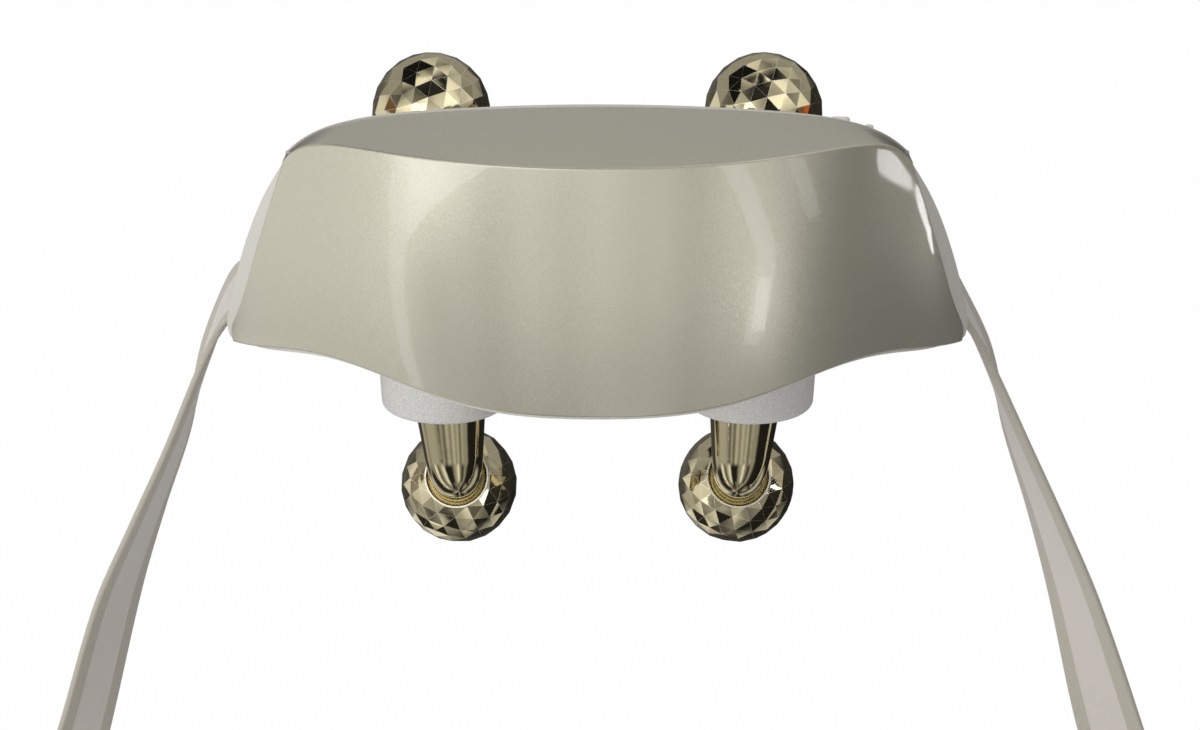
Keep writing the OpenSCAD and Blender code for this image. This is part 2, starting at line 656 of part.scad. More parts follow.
// Arms: one tapered tube that rises from the yoke, then turns towards its ball.
spindle_r = 3;
arm_end = [-ball_gap * sin(arm_bend), ball_z - ball_gap * cos(arm_bend)];
bend_y = arm_y + arm_bend_r * (1 - cos(arm_bend));
arm_tail = (arm_end[0] - bend_y) / sin(arm_bend);
bend_z = arm_end[1] - arm_tail * cos(arm_bend) - arm_bend_r * sin(arm_bend);
arm_rise = bend_z - post_top;
arm_arc = arm_bend_r * arm_bend * PI / 180;
arm_length = arm_rise + arm_arc + arm_tail;
function arm_turn(s) = min(arm_bend, max(0, (s - arm_rise) / arm_arc * arm_bend));
function arm_point(s) = let (t = arm_turn(s), rise = min(s, arm_rise),
        tail = max(0, s - arm_rise - arm_arc))
    [0, arm_y + arm_bend_r * (1 - cos(t)) + tail * sin(t),
        post_top + rise + arm_bend_r * sin(t) + tail * cos(t)];
function arm_section(s, r) = let (p = arm_point(s), t = arm_turn(s))
    [for (k = [0:23]) p + r * [cos(15 * k), sin(15 * k) * cos(t), -sin(15 * k) * sin(t)]];
function arm_radius(s) = lerp(arm_root_r, arm_tip_r, s / arm_length);
module at_ball() {
    translate([0, 0, ball_z]) rotate([60 + arm_bend, 0, 0]) children();
}
module arm(side, up) {
    stops = concat([0, 0.33 * arm_rise, 0.66 * arm_rise],
        [for (k = [0:9]) arm_rise + arm_arc * k / 9]);
    color(gold) claw_place(side) upper_or_lower(up) difference() {
        union() {
            skin(concat([for (s = stops) arm_section(s, arm_radius(s))],
                [arm_section(arm_length - 0.6, arm_tip_r), arm_section(arm_length, arm_tip_r - 0.6)]));
            translate([0, arm_y, 11.2]) cylinder(r = spigot_r, h = post_top - 10.7, $fn = 48);
            at_ball() translate([0, 0, -1.5]) cylinder(r = spindle_r, h = ball_gap + 2.5, $fn = 48);
        }
        along_y(0, -40, cross_z, screw_r + seat_fit, 30);
    }
}

// Balls: a geodesic sphere of flat facets in two halves, with a smooth dish round the arm.
golden = (1 + sqrt(5)) / 2;
ico = [for (s = [-1, 1], t = [-golden, golden]) each [[0, s, t], [s, t, 0], [t, 0, s]]];
ico_faces = [for (a = [0:9], b = [a + 1:10], c = [b + 1:11])
    if (norm(ico[a] - ico[b]) < 2.1 && norm(ico[b] - ico[c]) < 2.1 && norm(ico[a] - ico[c]) < 2.1)
        [ico[a], ico[b], ico[c]]];
split = 4;
ball_points = [for (f = ico_faces, i = [0:split], j = [0:split - i])
    ball_r * unit(f[0] * i + f[1] * j + f[2] * (split - i - j))];
dish_r = 9.8;
dish_floor = 13.6;
dish_rim = 16.7;
dish_flare = 1.9;
collar_w = 0.7;
seam = 0.04;
ball_bush_r = 4.7;
ball_hollow_r = 6;
ball_turn = [12, 20, 0];
module geodesic() {
    hull() polyhedron(points = ball_points,
        faces = [for (k = [0:3:len(ball_points) - 3]) [k, k + 1, k + 2]]);
}
module dish() {
    floor_r = dish_r - dish_flare;
    rotate_extrude($fn = 64) polygon(concat([[0, dish_floor]],
        [for (t = [0:18:90]) [floor_r + dish_flare * sin(t), dish_floor + 2.6 * (1 - cos(t))]],
        [[dish_r, 25], [0, 25]]));
}
module ball_half(side, up, half) {
    color(gold) claw_place(side) upper_or_lower(up) at_ball() difference() {
        intersection() {
            union() {
                rotate(ball_turn) geodesic();
                translate([0, 0, 12]) cylinder(r = dish_r + collar_w, h = dish_rim - 12, $fn = 64);
            }
            translate([-30, half > 0 ? seam : -60 - seam, -30]) cube([60, 60, 60]);
        }
        dish();
        translate([0, 0, 0.9]) cylinder(r = ball_bush_r + seat_fit, h = 20, $fn = 48);
        translate([0, 0, -4]) cylinder(r = ball_hollow_r, h = 5, $fn = 48);
    }
}
module ball_bush(side, up) {
    color(steel) claw_place(side) upper_or_lower(up) at_ball() translate([0, 0, 1])
        tube(ball_bush_r, spindle_r + pin_play, dish_floor - 1);
}

// Straps: webbing whose section runs through a near, a middle and a far point at each
// station. The middle bulges where the strap turns down, then it hangs flat.
strap_root = [
    [[106.4, -21.7, -2.5], [104.2, -25.6, 8.5], [101.8, -29.3, 19.5]],
    [[114.8, -3.7, -3.5], [113.1, -7.7, 7.5], [111.3, -11.7, 18.5]],
    [[122.5, -1.5, -10], [119, 5, -2], [118.5, 12, 8]],
    [[128.5, -5, -21], [126.3, 6, -21], [129.2, 17, -20]]];
strap_foot = [
    [[198, 1.5, -205], [186.5, 5.1, -205], [175, 8.5, -205]],
    [[208, 2, -250], [196.4, 5.1, -250], [184.8, 8, -250]],
    [[215.6, 2, -290], [204, 5.1, -290], [192.4, 8, -290]],
    [[216.6, 2, -310], [205, 5.1, -310], [193.4, 8, -310]],
    [[216.6, 2, -330], [205, 5.1, -330], [193.4, 8, -330]]];
right_route = concat(strap_root, [
    [[141.3, -6, -50], [136.8, 5.5, -50], [134, 16.5, -50]],
    [[153.5, -5.5, -77], [147.6, 4.7, -77], [142, 15, -77]],
    [[165.3, -3.7, -105], [157.3, 5, -105], [149.2, 13.7, -105]],
    [[181.9, -0.5, -153], [170.8, 5, -153], [159.7, 10.5, -153]]], strap_foot);
left_route = concat(strap_root, [
    [[140.8, -6, -50], [136.6, 5.5, -50], [134.5, 16.8, -50]],
    [[153, -6, -77], [147.4, 5, -77], [143.2, 15.5, -77]],
    [[165.2, -4.8, -105], [158.2, 5, -105], [151.2, 14.7, -105]],
    [[179.7, -3.3, -153], [171, 5, -153], [162.4, 13.3, -153]]], strap_foot);
strap_steps = 3;
strap_cells = 6;
slot_l = 20;
slot_places = [[112.5, -7.5, 67.3], [108.9, -16.6, 61]];
slot_z = 7.6;
anchor_a = 61;
anchor_r = 122.8;
anchor_z = 8.6;
anchor_lean = 21;
anchor_pin_r = 1.4;
anchor_pin_dx = 7;
bar = [20, 5.2, 1.4];
function hermite(p, q, a, b, t) = p * (1 + 2 * t) * (1 - t) * (1 - t) + q * t * t * (3 - 2 * t)
    + a * t * (1 - t) * (1 - t) - b * t * t * (1 - t);
function reach(route, k) = k < 0 || k > len(route) - 2 ? 0 : norm(route[k + 1][1] - route[k][1]);
function slope(route, k, m) = (route[min(len(route) - 1, k + 1)][m] - route[max(0, k - 1)][m])
    / (reach(route, k - 1) + reach(route, k));
function station(route, g) = let (k = min(len(route) - 2, floor(g)), r = reach(route, k))
    [for (m = [0:2]) hermite(route[k][m], route[k + 1][m], r * slope(route, k, m),
        r * slope(route, k + 1, m), g - k)];
function across(s, t) = s[0] * t * (t - 1) / 2 + s[1] * (1 - t * t) + s[2] * t * (t + 1) / 2;
function strap_face(route, g, t) = let (s = station(route, g), e = 0.05, n = len(route) - 1,
        along = across(station(route, min(n, g + e)), t) - across(station(route, max(0, g - e)), t),
        cross_way = across(s, t + e) - across(s, t - e))
    [across(s, t), unit(cross(along, cross_way)) * strap_t / 2];
function strap_section(route, g) = let (
        cells = [for (c = [0:strap_cells]) strap_face(route, g, 2 * c / strap_cells - 1)])
    concat([for (c = [0:strap_cells]) cells[c][0] + cells[c][1]],
        [for (c = [strap_cells:-1:0]) cells[c][0] - cells[c][1]]);
module strap(route) {
    stops = [for (g = [strap_steps * (len(route) - 1):-1:0]) g / strap_steps];
    color(webbing) difference() {
        skin([for (g = stops) strap_section(route, g)]);
        at_anchor() anchor_pins(anchor_pin_r + 0.03);
    }
}
// The slot in a wing's end wall that the strap leaves by.
module strap_slot() {
    for (p = slot_places) translate([p[0], p[1], slot_z])
        rotate([0, 0, p[2]]) cube([slot_l, strap_t + 1.2, strap_w + 0.4], center = true);
}
// A clamp bar lies on the strap's end, with two pins through it into the neck wall.
module at_anchor() {
    translate([0, front_cy, 0]) rotate([0, 0, anchor_a - 90]) translate([anchor_r, 0, anchor_z])
        rotate([0, 90, 0]) rotate([0, 0, anchor_lean]) children();
}
module anchor_pins(r) {
    for (x = [-anchor_pin_dx, anchor_pin_dx]) translate([x, 0, -3.6]) cylinder(r = r, h = 5.4, $fn = 32);
}
module strap_anchor() {
    color(steel) at_anchor() {
        translate([-bar[0] / 2, -bar[1] / 2, strap_t / 2 + 0.1]) cube(bar);
        anchor_pins(anchor_pin_r);
    }
}
// A hand loop: a turn of webbing sewn to both faces of the strap's end.
loop_place = [205, 5, -330.2];
loop_turn = -14.5;
loop_r = 24;
loop_drop = 62;
loop_neck = 12;
sewn_l = 28;
slit_l = 20;
slit_gap = 0.15;
module loop_shape(t) {
    hull() {
        translate([0, -loop_drop]) circle(r = loop_r - t, $fn = 48);
        translate([0, -loop_neck]) circle(r = 2.4 - t * 0.5, $fn = 12);
    }
}
module hand_loop() {
    color(webbing) translate(loop_place) rotate([0, 0, loop_turn]) rotate([90, 0, 90])
        translate([0, 0, -strap_w / 2]) linear_extrude(strap_w) {
        difference() {
            translate([-1.5 * strap_t - 0.05, -sewn_l / 2]) square([3 * strap_t + 0.1, sewn_l]);
            translate([-strap_t / 2 - slit_gap, 0]) square([strap_t + 2 * slit_gap, slit_l]);
        }
        difference() {
            loop_shape(0);
            loop_shape(strap_t);
        }
    }
}

outer_cover();
rear_cover();
chassis();
battery_pack();
battery_bracket();
main_board();
charge_socket();
button_board();
motor(-1);  // left_motor
motor(1);  // right_motor
pod(-1);  // left_pod
pod(1);  // right_pod
pivot_pins();
housing_screws();
board_screws();
pod_screws();
side_place(-1) strap_anchor();  // left_strap_anchor
strap_anchor();  // right_strap_anchor
side_place(-1) strap(left_route);  // left_strap
strap(right_route);  // right_strap
side_place(-1) hand_loop();  // left_hand_loop
hand_loop();  // right_hand_loop
power_button();
mode_button();
yoke(-1);  // left_yoke
claw_gear(-1);  // left_claw_gear
arm(-1, 1);  // left_upper_arm
arm(-1, -1);  // left_lower_arm
claw_hardware(-1);  // left_claw_hardware
yoke(1);  // right_yoke
claw_gear(1);  // right_claw_gear
arm(1, 1);  // right_upper_arm
arm(1, -1);  // right_lower_arm
claw_hardware(1);  // right_claw_hardware
drive_pinion(-1);  // left_drive_pinion
drive_pinion(1);  // right_drive_pinion
ball_half(-1, 1, 1);  // left_upper_ball_top
ball_half(-1, 1, -1);  // left_upper_ball_base
ball_bush(-1, 1);  // left_upper_ball_bush
ball_half(-1, -1, -1);  // left_lower_ball_top
ball_half(-1, -1, 1);  // left_lower_ball_base
ball_bush(-1, -1);  // left_lower_ball_bush
ball_half(1, 1, 1);  // right_upper_ball_top
ball_half(1, 1, -1);  // right_upper_ball_base
ball_bush(1, 1);  // right_upper_ball_bush
ball_half(1, -1, -1);  // right_lower_ball_top
ball_half(1, -1, 1);  // right_lower_ball_base
ball_bush(1, -1);  // right_lower_ball_bush
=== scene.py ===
# Neck and shoulder massager: pearl shell, grained pods, polished claws with faceted balls, webbing straps.
# Shapes are worked out in millimetres, and newPiece puts them into metres.
import itertools
import json
import math
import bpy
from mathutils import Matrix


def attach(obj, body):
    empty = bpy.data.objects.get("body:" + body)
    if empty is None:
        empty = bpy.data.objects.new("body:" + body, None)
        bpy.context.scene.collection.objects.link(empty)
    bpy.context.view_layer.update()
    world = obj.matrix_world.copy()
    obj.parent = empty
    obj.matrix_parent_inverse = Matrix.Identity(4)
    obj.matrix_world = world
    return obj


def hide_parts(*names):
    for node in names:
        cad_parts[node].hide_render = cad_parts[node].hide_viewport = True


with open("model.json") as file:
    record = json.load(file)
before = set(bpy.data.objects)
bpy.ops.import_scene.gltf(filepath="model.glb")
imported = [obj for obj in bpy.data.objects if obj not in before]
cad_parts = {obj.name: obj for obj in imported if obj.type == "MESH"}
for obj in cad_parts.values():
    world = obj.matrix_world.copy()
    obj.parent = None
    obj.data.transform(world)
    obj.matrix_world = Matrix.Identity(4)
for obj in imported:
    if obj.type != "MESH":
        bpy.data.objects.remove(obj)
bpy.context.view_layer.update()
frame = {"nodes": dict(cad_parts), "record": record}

from types import SimpleNamespace

import bmesh
import bpy
import numpy as np
from mathutils import Vector

print("frame loaded with", len(frame["nodes"]), "nodes")

mm = 0.001
sides = {"left": -1, "right": 1}


# Meshes

# An object with that data, linked into the scene
def addObject(name, data):
    thing = bpy.data.objects.new(name, data)
    bpy.context.scene.collection.objects.link(thing)
    return thing


# Vectors scaled to length 1
def unit(vectors):
    return vectors / np.linalg.norm(vectors, axis=-1, keepdims=True)


def mixed(a, b, t):
    return a + (b - a) * t


# Angles of a quarter turn
def quarter(count, start=0):
    return np.radians(np.linspace(start, 90, count))


# Quads between the points of a grid; loop also joins its last column to its first
def gridFaces(rows, columns, start=0, loop=False):
    index = start + np.arange(rows * columns).reshape(rows, columns)
    if loop:
        index = np.concatenate([index, index[:, :1]], axis=1)
    quads = np.stack([index[:-1, :-1], index[:-1, 1:], index[1:, 1:], index[1:, :-1]], axis=-1)
    return quads.reshape(-1, 4)


# A mesh in metres from points in millimetres
def meshFrom(name, points, faces):
    mesh = bpy.data.meshes.new(name)
    points = np.asarray(points, float).reshape(-1, 3) * mm
    mesh.from_pydata(points.tolist(), [], [list(f) for f in faces])
    mesh.update()
    return mesh


def turnOutwards(bm):
    bmesh.ops.recalc_face_normals(bm, faces=bm.faces)
    if bm.calc_volume(signed=True) < 0:
        bmesh.ops.reverse_faces(bm, faces=bm.faces)


# Joins doubled points and turns every face outwards
def tidyMesh(mesh, merge=0.001):
    bm = bmesh.new()
    bm.from_mesh(mesh)
    bmesh.ops.remove_doubles(bm, verts=bm.verts, dist=merge * mm)
    bmesh.ops.dissolve_degenerate(bm, edges=bm.edges, dist=merge * mm * 0.5)
    turnOutwards(bm)
    bm.to_mesh(mesh)
    bm.free()
    return mesh


# A mesh becomes a piece that rides on a body and stands for CAD nodes. Edges above the angle sharp stay sharp;
# with even, flat stretches keep their own normals beside narrow rounded edges
def newPiece(name, mesh, body, replaced, slotName, material, sharp, even=False):
    mesh.polygons.foreach_set("use_smooth", np.ones(len(mesh.polygons), bool))
    mesh.set_sharp_from_angle(angle=math.radians(sharp))
    mesh.materials.clear()
    mesh.materials.append(material)
    piece = addObject(name, mesh)
    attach(piece, body)
    if replaced:
        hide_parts(*replaced)
    if even:
        modifier = piece.modifiers.new("evenNormals", "WEIGHTED_NORMAL")
        modifier.keep_sharp = True
        modifier.weight = 90
    return piece


# A closed solid: a profile of (radius, height) turned about Z, with a point at each end on the axis
def lathe(name, profile, segments=96):
    profile = np.asarray(profile, float)
    angle = np.arange(segments) * 2 * np.pi / segments
    ring = np.stack([np.cos(angle), np.sin(angle)], axis=1)
    height = np.repeat(profile[:, None, 1:2], segments, 1)
    points = np.concatenate([profile[:, None, 0:1] * ring[None], height], axis=2)
    return tidyMesh(meshFrom(name, points, gridFaces(len(profile), segments, loop=True)))


# A box between its lowest and its highest corner
def boxMesh(name, low, high):
    quads = [(0, 1, 3, 2), (4, 6, 7, 5), (0, 4, 5, 1), (2, 3, 7, 6), (0, 2, 6, 4), (1, 5, 7, 3)]
    return tidyMesh(meshFrom(name, list(itertools.product(*zip(low, high))), quads))


# Turns a mesh by a 3 by 3 matrix, then shifts it by millimetres
def moved(mesh, matrix=None, shift=(0, 0, 0)):
    points = np.zeros(len(mesh.vertices) * 3)
    mesh.vertices.foreach_get("co", points)
    points = points.reshape(-1, 3)
    if matrix is not None:
        points = points @ np.asarray(matrix, float).T
    points = points + np.asarray(shift, float) * mm
    mesh.vertices.foreach_set("co", points.ravel())
    if matrix is not None and np.linalg.det(matrix) < 0:
        mesh.flip_normals()
    mesh.update()
    return mesh


# The matrix of a turn round an axis, "x", "y" or "z"
def turned(axis, degrees):
    c, s = math.cos(math.radians(degrees)), math.sin(math.radians(degrees))
    a, b = (("xyz".index(axis) + k) % 3 for k in (1, 2))
    matrix = np.eye(3)
    matrix[a, a] = matrix[b, b] = c
    matrix[a, b], matrix[b, a] = -s, s
    return matrix


alongY = turned("x", -90)  # takes +Z to +Y


# A plain rod from y towards +Y
def rodY(name, x, y, z, radius, length, segments=64):
    mesh = lathe(name, [(0, 0), (radius, 0), (radius, length), (0, length)], segments)
    return moved(mesh, alongY, (x, y, z))


# The mesh after a boolean with each of the others, which are used up
def combined(mesh, others, operation="DIFFERENCE"):
    holder = addObject("holder", mesh)
    tools = [addObject("tool", other) for other in others]
    for tool in tools:
        modifier = holder.modifiers.new("cut", "BOOLEAN")
        modifier.operation = operation
        modifier.solver = "EXACT"
        modifier.object = tool
    bpy.context.view_layer.update()
    result = bpy.data.meshes.new_from_object(holder.evaluated_get(bpy.context.evaluated_depsgraph_get()))
    for thing in [holder, *tools]:
        bpy.data.objects.remove(thing)
    return result


# Several meshes as one
def joined(meshes):
    bm = bmesh.new()
    for mesh in meshes:
        bm.from_mesh(mesh)
    result = bpy.data.meshes.new(meshes[0].name)
    bm.to_mesh(result)
    bm.free()
    return result


# Indices of a grid's border, once round it
def rimOrder(nu, nv):
    cells = np.arange(nu * nv).reshape(nu, nv)
    return np.concatenate([cells[:, 0], cells[-1, 1:], cells[-2::-1, -1], cells[0, -2:0:-1]])


# A sheet, loops round its border one after another, and a second sheet, as one closed skin
def closedCup(name, first, loops, last):
    nu, nv = first.shape[:2]
    cells, rim = nu * nv, rimOrder(nu, nv)
    count = len(rim)
    lastStart = cells + len(loops) * count
    points = np.concatenate([first.reshape(-1, 3), *loops, last.reshape(-1, 3)])
    rings = [rim, *(cells + k * count + np.arange(count) for k in range(len(loops))), rim + lastStart]
    faces = [gridFaces(nu, nv), gridFaces(nu, nv, start=lastStart)[:, ::-1]]
    for a, b in zip(rings[:-1], rings[1:]):
        faces.append(np.stack([a, b, np.roll(b, -1), np.roll(a, -1)], axis=1))
    return tidyMesh(meshFrom(name, points, np.concatenate(faces)))


# A list of equal arrays of points, with every inner stop cut by a short arc of about that radius
def roundedRoute(stops, radius, steps):
    route = [stops[0]]
    for before, at, after in zip(stops[:-2], stops[1:-1], stops[2:]):
        ends = []
        for way in (before - at, after - at):
            length = np.linalg.norm(way, axis=-1, keepdims=True) + 1e-9
            ends.append(at + way / length * np.minimum(radius, 0.45 * length))
        for t in np.linspace(0, 1, steps + 1):
            route.append((1 - t) ** 2 * ends[0] + 2 * t * (1 - t) * at + t * t * ends[1])
    route.append(stops[-1])
    return route


# Node groups and materials

# Links or sets sockets, each named with underscores for spaces or numbered after an underscore
def fill(tree, sockets, **values):
    for name, value in values.items():
        socket = sockets[int(name[1:]) if name[0] == "_" else name.replace("_", " ")]
        if isinstance(value, bpy.types.NodeSocket):
            tree.links.new(value, socket)
        else:
            socket.default_value = value


# A shader node with its own settings, then its inputs
def addNode(tree, kind, setup=None, **inputs):
    node = tree.nodes.new("ShaderNode" + kind)
    for key, value in (setup or {}).items():
        setattr(node, key, value)
    fill(tree, node.inputs, **inputs)
    return node


def maths(tree, operation, a, b=0.0, clamp=False):
    return addNode(tree, "Math", {"operation": operation, "use_clamp": clamp}, _0=a, _1=b).outputs[0]


def vectorMaths(tree, operation, **inputs):
    return addNode(tree, "VectorMath", {"operation": operation}, **inputs).outputs[0]


def ramp(tree, value, low, high, start=0.0, end=1.0):
    node = addNode(tree, "MapRange", Value=value, From_Min=low, From_Max=high, To_Min=start, To_Max=end)
    return node.outputs[0]


# A value less its middle, times a strength
def swing(tree, value, middle, strength):
    return maths(tree, "MULTIPLY", maths(tree, "SUBTRACT", value, middle), strength)


def mixColour(tree, factor, a, b, blend="MIX"):
    return addNode(tree, "Mix", {"data_type": "RGBA", "blend_type": blend}, _0=factor, _6=a, _7=b).outputs[2]


# A colour times a plain brightness
def shaded(tree, colour, level):
    grey = addNode(tree, "CombineColor", _0=level, _1=level, _2=level)
    return mixColour(tree, 1.0, colour, grey.outputs[0], "MULTIPLY")


def noise(tree, place, scale, detail):
    return addNode(tree, "TexNoise", Vector=place, Scale=scale, Detail=detail).outputs


def objectPlace(tree):
    return addNode(tree, "TexCoord").outputs["Object"]


# A node group: its inputs give a start value, and its outputs are known by their names
def newGroup(name, inputs, outputs):
    group = bpy.data.node_groups.new(name, "ShaderNodeTree")
    kinds = {"Colour": "NodeSocketColor", "Normal": "NodeSocketVector"}
    for key, value in inputs.items():
        kind = kinds.get(key, "NodeSocketFloat")
        group.interface.new_socket(name=key, in_out="INPUT", socket_type=kind).default_value = value
    for key in outputs:
        group.interface.new_socket(name=key, in_out="OUTPUT", socket_type=kinds.get(key, "NodeSocketFloat"))
    return group, group.nodes.new("NodeGroupInput").outputs, group.nodes.new("NodeGroupOutput").inputs


# Fine flakes: each Voronoi cell has its own brightness and tips the normal its own way
def flakeGroup():
    group, given, made = newGroup("pearlFlakes",
        {"Colour": (0.5, 0.5, 0.5, 1), "Flakes per mm": 4.0, "Sparkle": 0.1, "Tilt": 0.1}, ["Colour", "Normal"])
    place = objectPlace(group)
    scale = maths(group, "MULTIPLY", given["Flakes per mm"], 1 / mm)
    cellColour = addNode(group, "TexVoronoi", Vector=place, Scale=scale).outputs["Color"]
    scatter = vectorMaths(group, "SUBTRACT", _0=cellColour, _1=(0.5, 0.5, 0.5))
    lean = vectorMaths(group, "SCALE", _0=scatter, Scale=given["Tilt"])
    tipped = vectorMaths(group, "ADD", _0=addNode(group, "NewGeometry").outputs["Normal"], _1=lean)
    split = addNode(group, "SeparateColor", _0=cellColour)
    shade = swing(group, split.outputs[0], 0.5, given["Sparkle"])
    cloud = swing(group, noise(group, place, 14.0, 2.0)[0], 0.5, 0.06)
    level = maths(group, "ADD", maths(group, "ADD", shade, cloud), 1.0)
    fill(group, made,
        Colour=shaded(group, given["Colour"], level),
        Normal=vectorMaths(group, "NORMALIZE", _0=tipped))
    return group


# Pebbled grain: the height is rounded cells with creases between them, broken up by noise; the colour is darkened
# in the creases as painted shade
def grainGroup():
    group, given, made = newGroup("pebbleGrain",
        {"Colour": (0.8, 0.8, 0.8, 1), "Cell mm": 0.6, "Crease": 0.12}, ["Colour", "Height", "Roughness"])
    place = objectPlace(group)
    wander = noise(group, place, 900.0, 2.0)["Color"]
    bent = vectorMaths(group, "MULTIPLY_ADD", _0=wander, _1=(0.0004, 0.0004, 0.0004), _2=place)
    cells = addNode(group, "TexVoronoi", {"feature": "DISTANCE_TO_EDGE"}, Vector=bent,
        Scale=maths(group, "DIVIDE", 1 / mm, given["Cell mm"]))
    pebble = ramp(group, cells.outputs["Distance"], 0.0, 0.28)
    fine = noise(group, place, 5200.0, 3.0)[0]
    # Painted shade: the colour is darkened in the creases between the cells
    crease = maths(group, "MULTIPLY", maths(group, "SUBTRACT", 1.0, pebble), given["Crease"])
    fill(group, made,
        Colour=shaded(group, given["Colour"], maths(group, "SUBTRACT", 1.0, crease)),
        Height=maths(group, "ADD", pebble, maths(group, "MULTIPLY", fine, 0.35)),
        Roughness=ramp(group, fine, 0.2, 0.8, 0.42, 0.6))
    return group


# Handling: a little cloudiness in the colour, faint smears in the roughness and fine scratches as height
def handlingGroup():
    group, given, made = newGroup("handlingMarks",
        {"Colour": (0.5, 0.5, 0.5, 1), "Roughness": 0.2, "Smear": 0.05, "Cloud": 0.05},
        ["Colour", "Roughness", "Height"])
    place = objectPlace(group)
    broad = noise(group, place, 60.0, 4.0)[0]
    streak = addNode(group, "Mapping", Vector=place, Scale=(400.0, 2600.0, 180.0)).outputs[0]
    level = maths(group, "ADD", 1.0, swing(group, broad, 0.5, given["Cloud"]))
    smear = swing(group, broad, 0.45, given["Smear"])
    fill(group, made,
        Colour=shaded(group, given["Colour"], level),
        Roughness=maths(group, "ADD", given["Roughness"], smear, clamp=True),
        Height=noise(group, streak, 1.0, 3.0)[0])
    return group


groups = {"flakes": flakeGroup(), "grain": grainGroup(), "handling": handlingGroup()}


def useGroup(tree, name, **inputs):
    return addNode(tree, "Group", {"node_tree": groups[name]}, **inputs).outputs


# A material with one Principled shader, its plain values set on its own sockets
def startMaterial(name, **settings):
    material = bpy.data.materials.new(name)
    material.use_nodes = True
    tree = material.node_tree
    shader = tree.nodes["Principled BSDF"]
    fill(tree, shader.inputs, **settings)
    return material, tree, shader


def bumped(tree, shader, height, depth, strength=1.0):
    bump = addNode(tree, "Bump", Strength=strength, Distance=depth * mm, Height=height)
    fill(tree, shader.inputs, Normal=bump.outputs[0])


def pearlMaterial(name, colour, sparkle, tilt):
    material, tree, shader = startMaterial(name, Metallic=0.6, Roughness=0.3,
        Coat_Weight=0.9, Coat_Roughness=0.035, Coat_IOR=1.5)
    flakes = useGroup(tree, "flakes", Colour=(*colour, 1), Flakes_per_mm=4.5, Sparkle=sparkle, Tilt=tilt)
    fill(tree, shader.inputs, Base_Color=flakes["Colour"], Normal=flakes["Normal"])
    return material


# The last value is the strength of the painted shade in the grain's creases
def grainMaterial(name, colour, cell, depth, crease=0.16):
    material, tree, shader = startMaterial(name, Specular_IOR_Level=0.4)
    grain = useGroup(tree, "grain", Colour=(*colour, 1), Cell_mm=cell, Crease=crease)
    fill(tree, shader.inputs, Base_Color=grain["Colour"], Roughness=grain["Roughness"])
    bumped(tree, shader, grain["Height"], depth, 0.8)
    return material


# Polished metal: slow waves in the surface, and an attribute that marks the facets' fine chamfers and the dish,
# which get a paler colour as a painted highlight, and more roughness
def polishedMaterial(name, colour, highlightColour, roughness, wave, highlightRoughness=0.22):
    material, tree, shader = startMaterial(name, Metallic=1.0)
    marks = useGroup(tree, "handling", Colour=(*colour, 1), Roughness=roughness, Smear=0.05, Cloud=0.04)
    edge = addNode(tree, "Attribute", {"attribute_name": "paintedEdgeHighlight"}).outputs["Fac"]
    fill(tree, shader.inputs,
        # Painted highlight: the marked chamfers and dish take the paler colour
        Base_Color=mixColour(tree, edge, marks["Colour"], (*highlightColour, 1)),
        Roughness=maths(tree, "ADD", marks["Roughness"], maths(tree, "MULTIPLY", edge, highlightRoughness)))
    bumped(tree, shader, noise(tree, objectPlace(tree), 240.0, 1.0)[0], wave)
    return material


def smoothMaterial(name, colour, roughness, metallic=0.0, smear=0.05, cloud=0.05, scratch=0.0004):
    material, tree, shader = startMaterial(name, Metallic=metallic)
    marks = useGroup(tree, "handling", Colour=(*colour, 1), Roughness=roughness, Smear=smear, Cloud=cloud)
    fill(tree, shader.inputs, Base_Color=marks["Colour"], Roughness=marks["Roughness"])
    bumped(tree, shader, marks["Height"], scratch, 0.6)
    return material


# Green solder resist with paler copper tracks in a brick pattern
def boardMaterial():
    material, tree, shader = startMaterial("circuitBoard", Roughness=0.35)
    upright = addNode(tree, "Mapping", Vector=objectPlace(tree), Rotation=(math.radians(90), 0, 0)).outputs[0]
    tracks = addNode(tree, "TexBrick", Vector=upright, Color1=(0.02, 0.14, 0.07, 1),
        Color2=(0.03, 0.17, 0.09, 1), Mortar=(0.08, 0.3, 0.16, 1), Scale=420.0, Mortar_Size=0.03)
    fill(tree, shader.inputs, Base_Color=tracks.outputs["Color"])
    bumped(tree, shader, tracks.outputs["Fac"], 0.03)
    return material


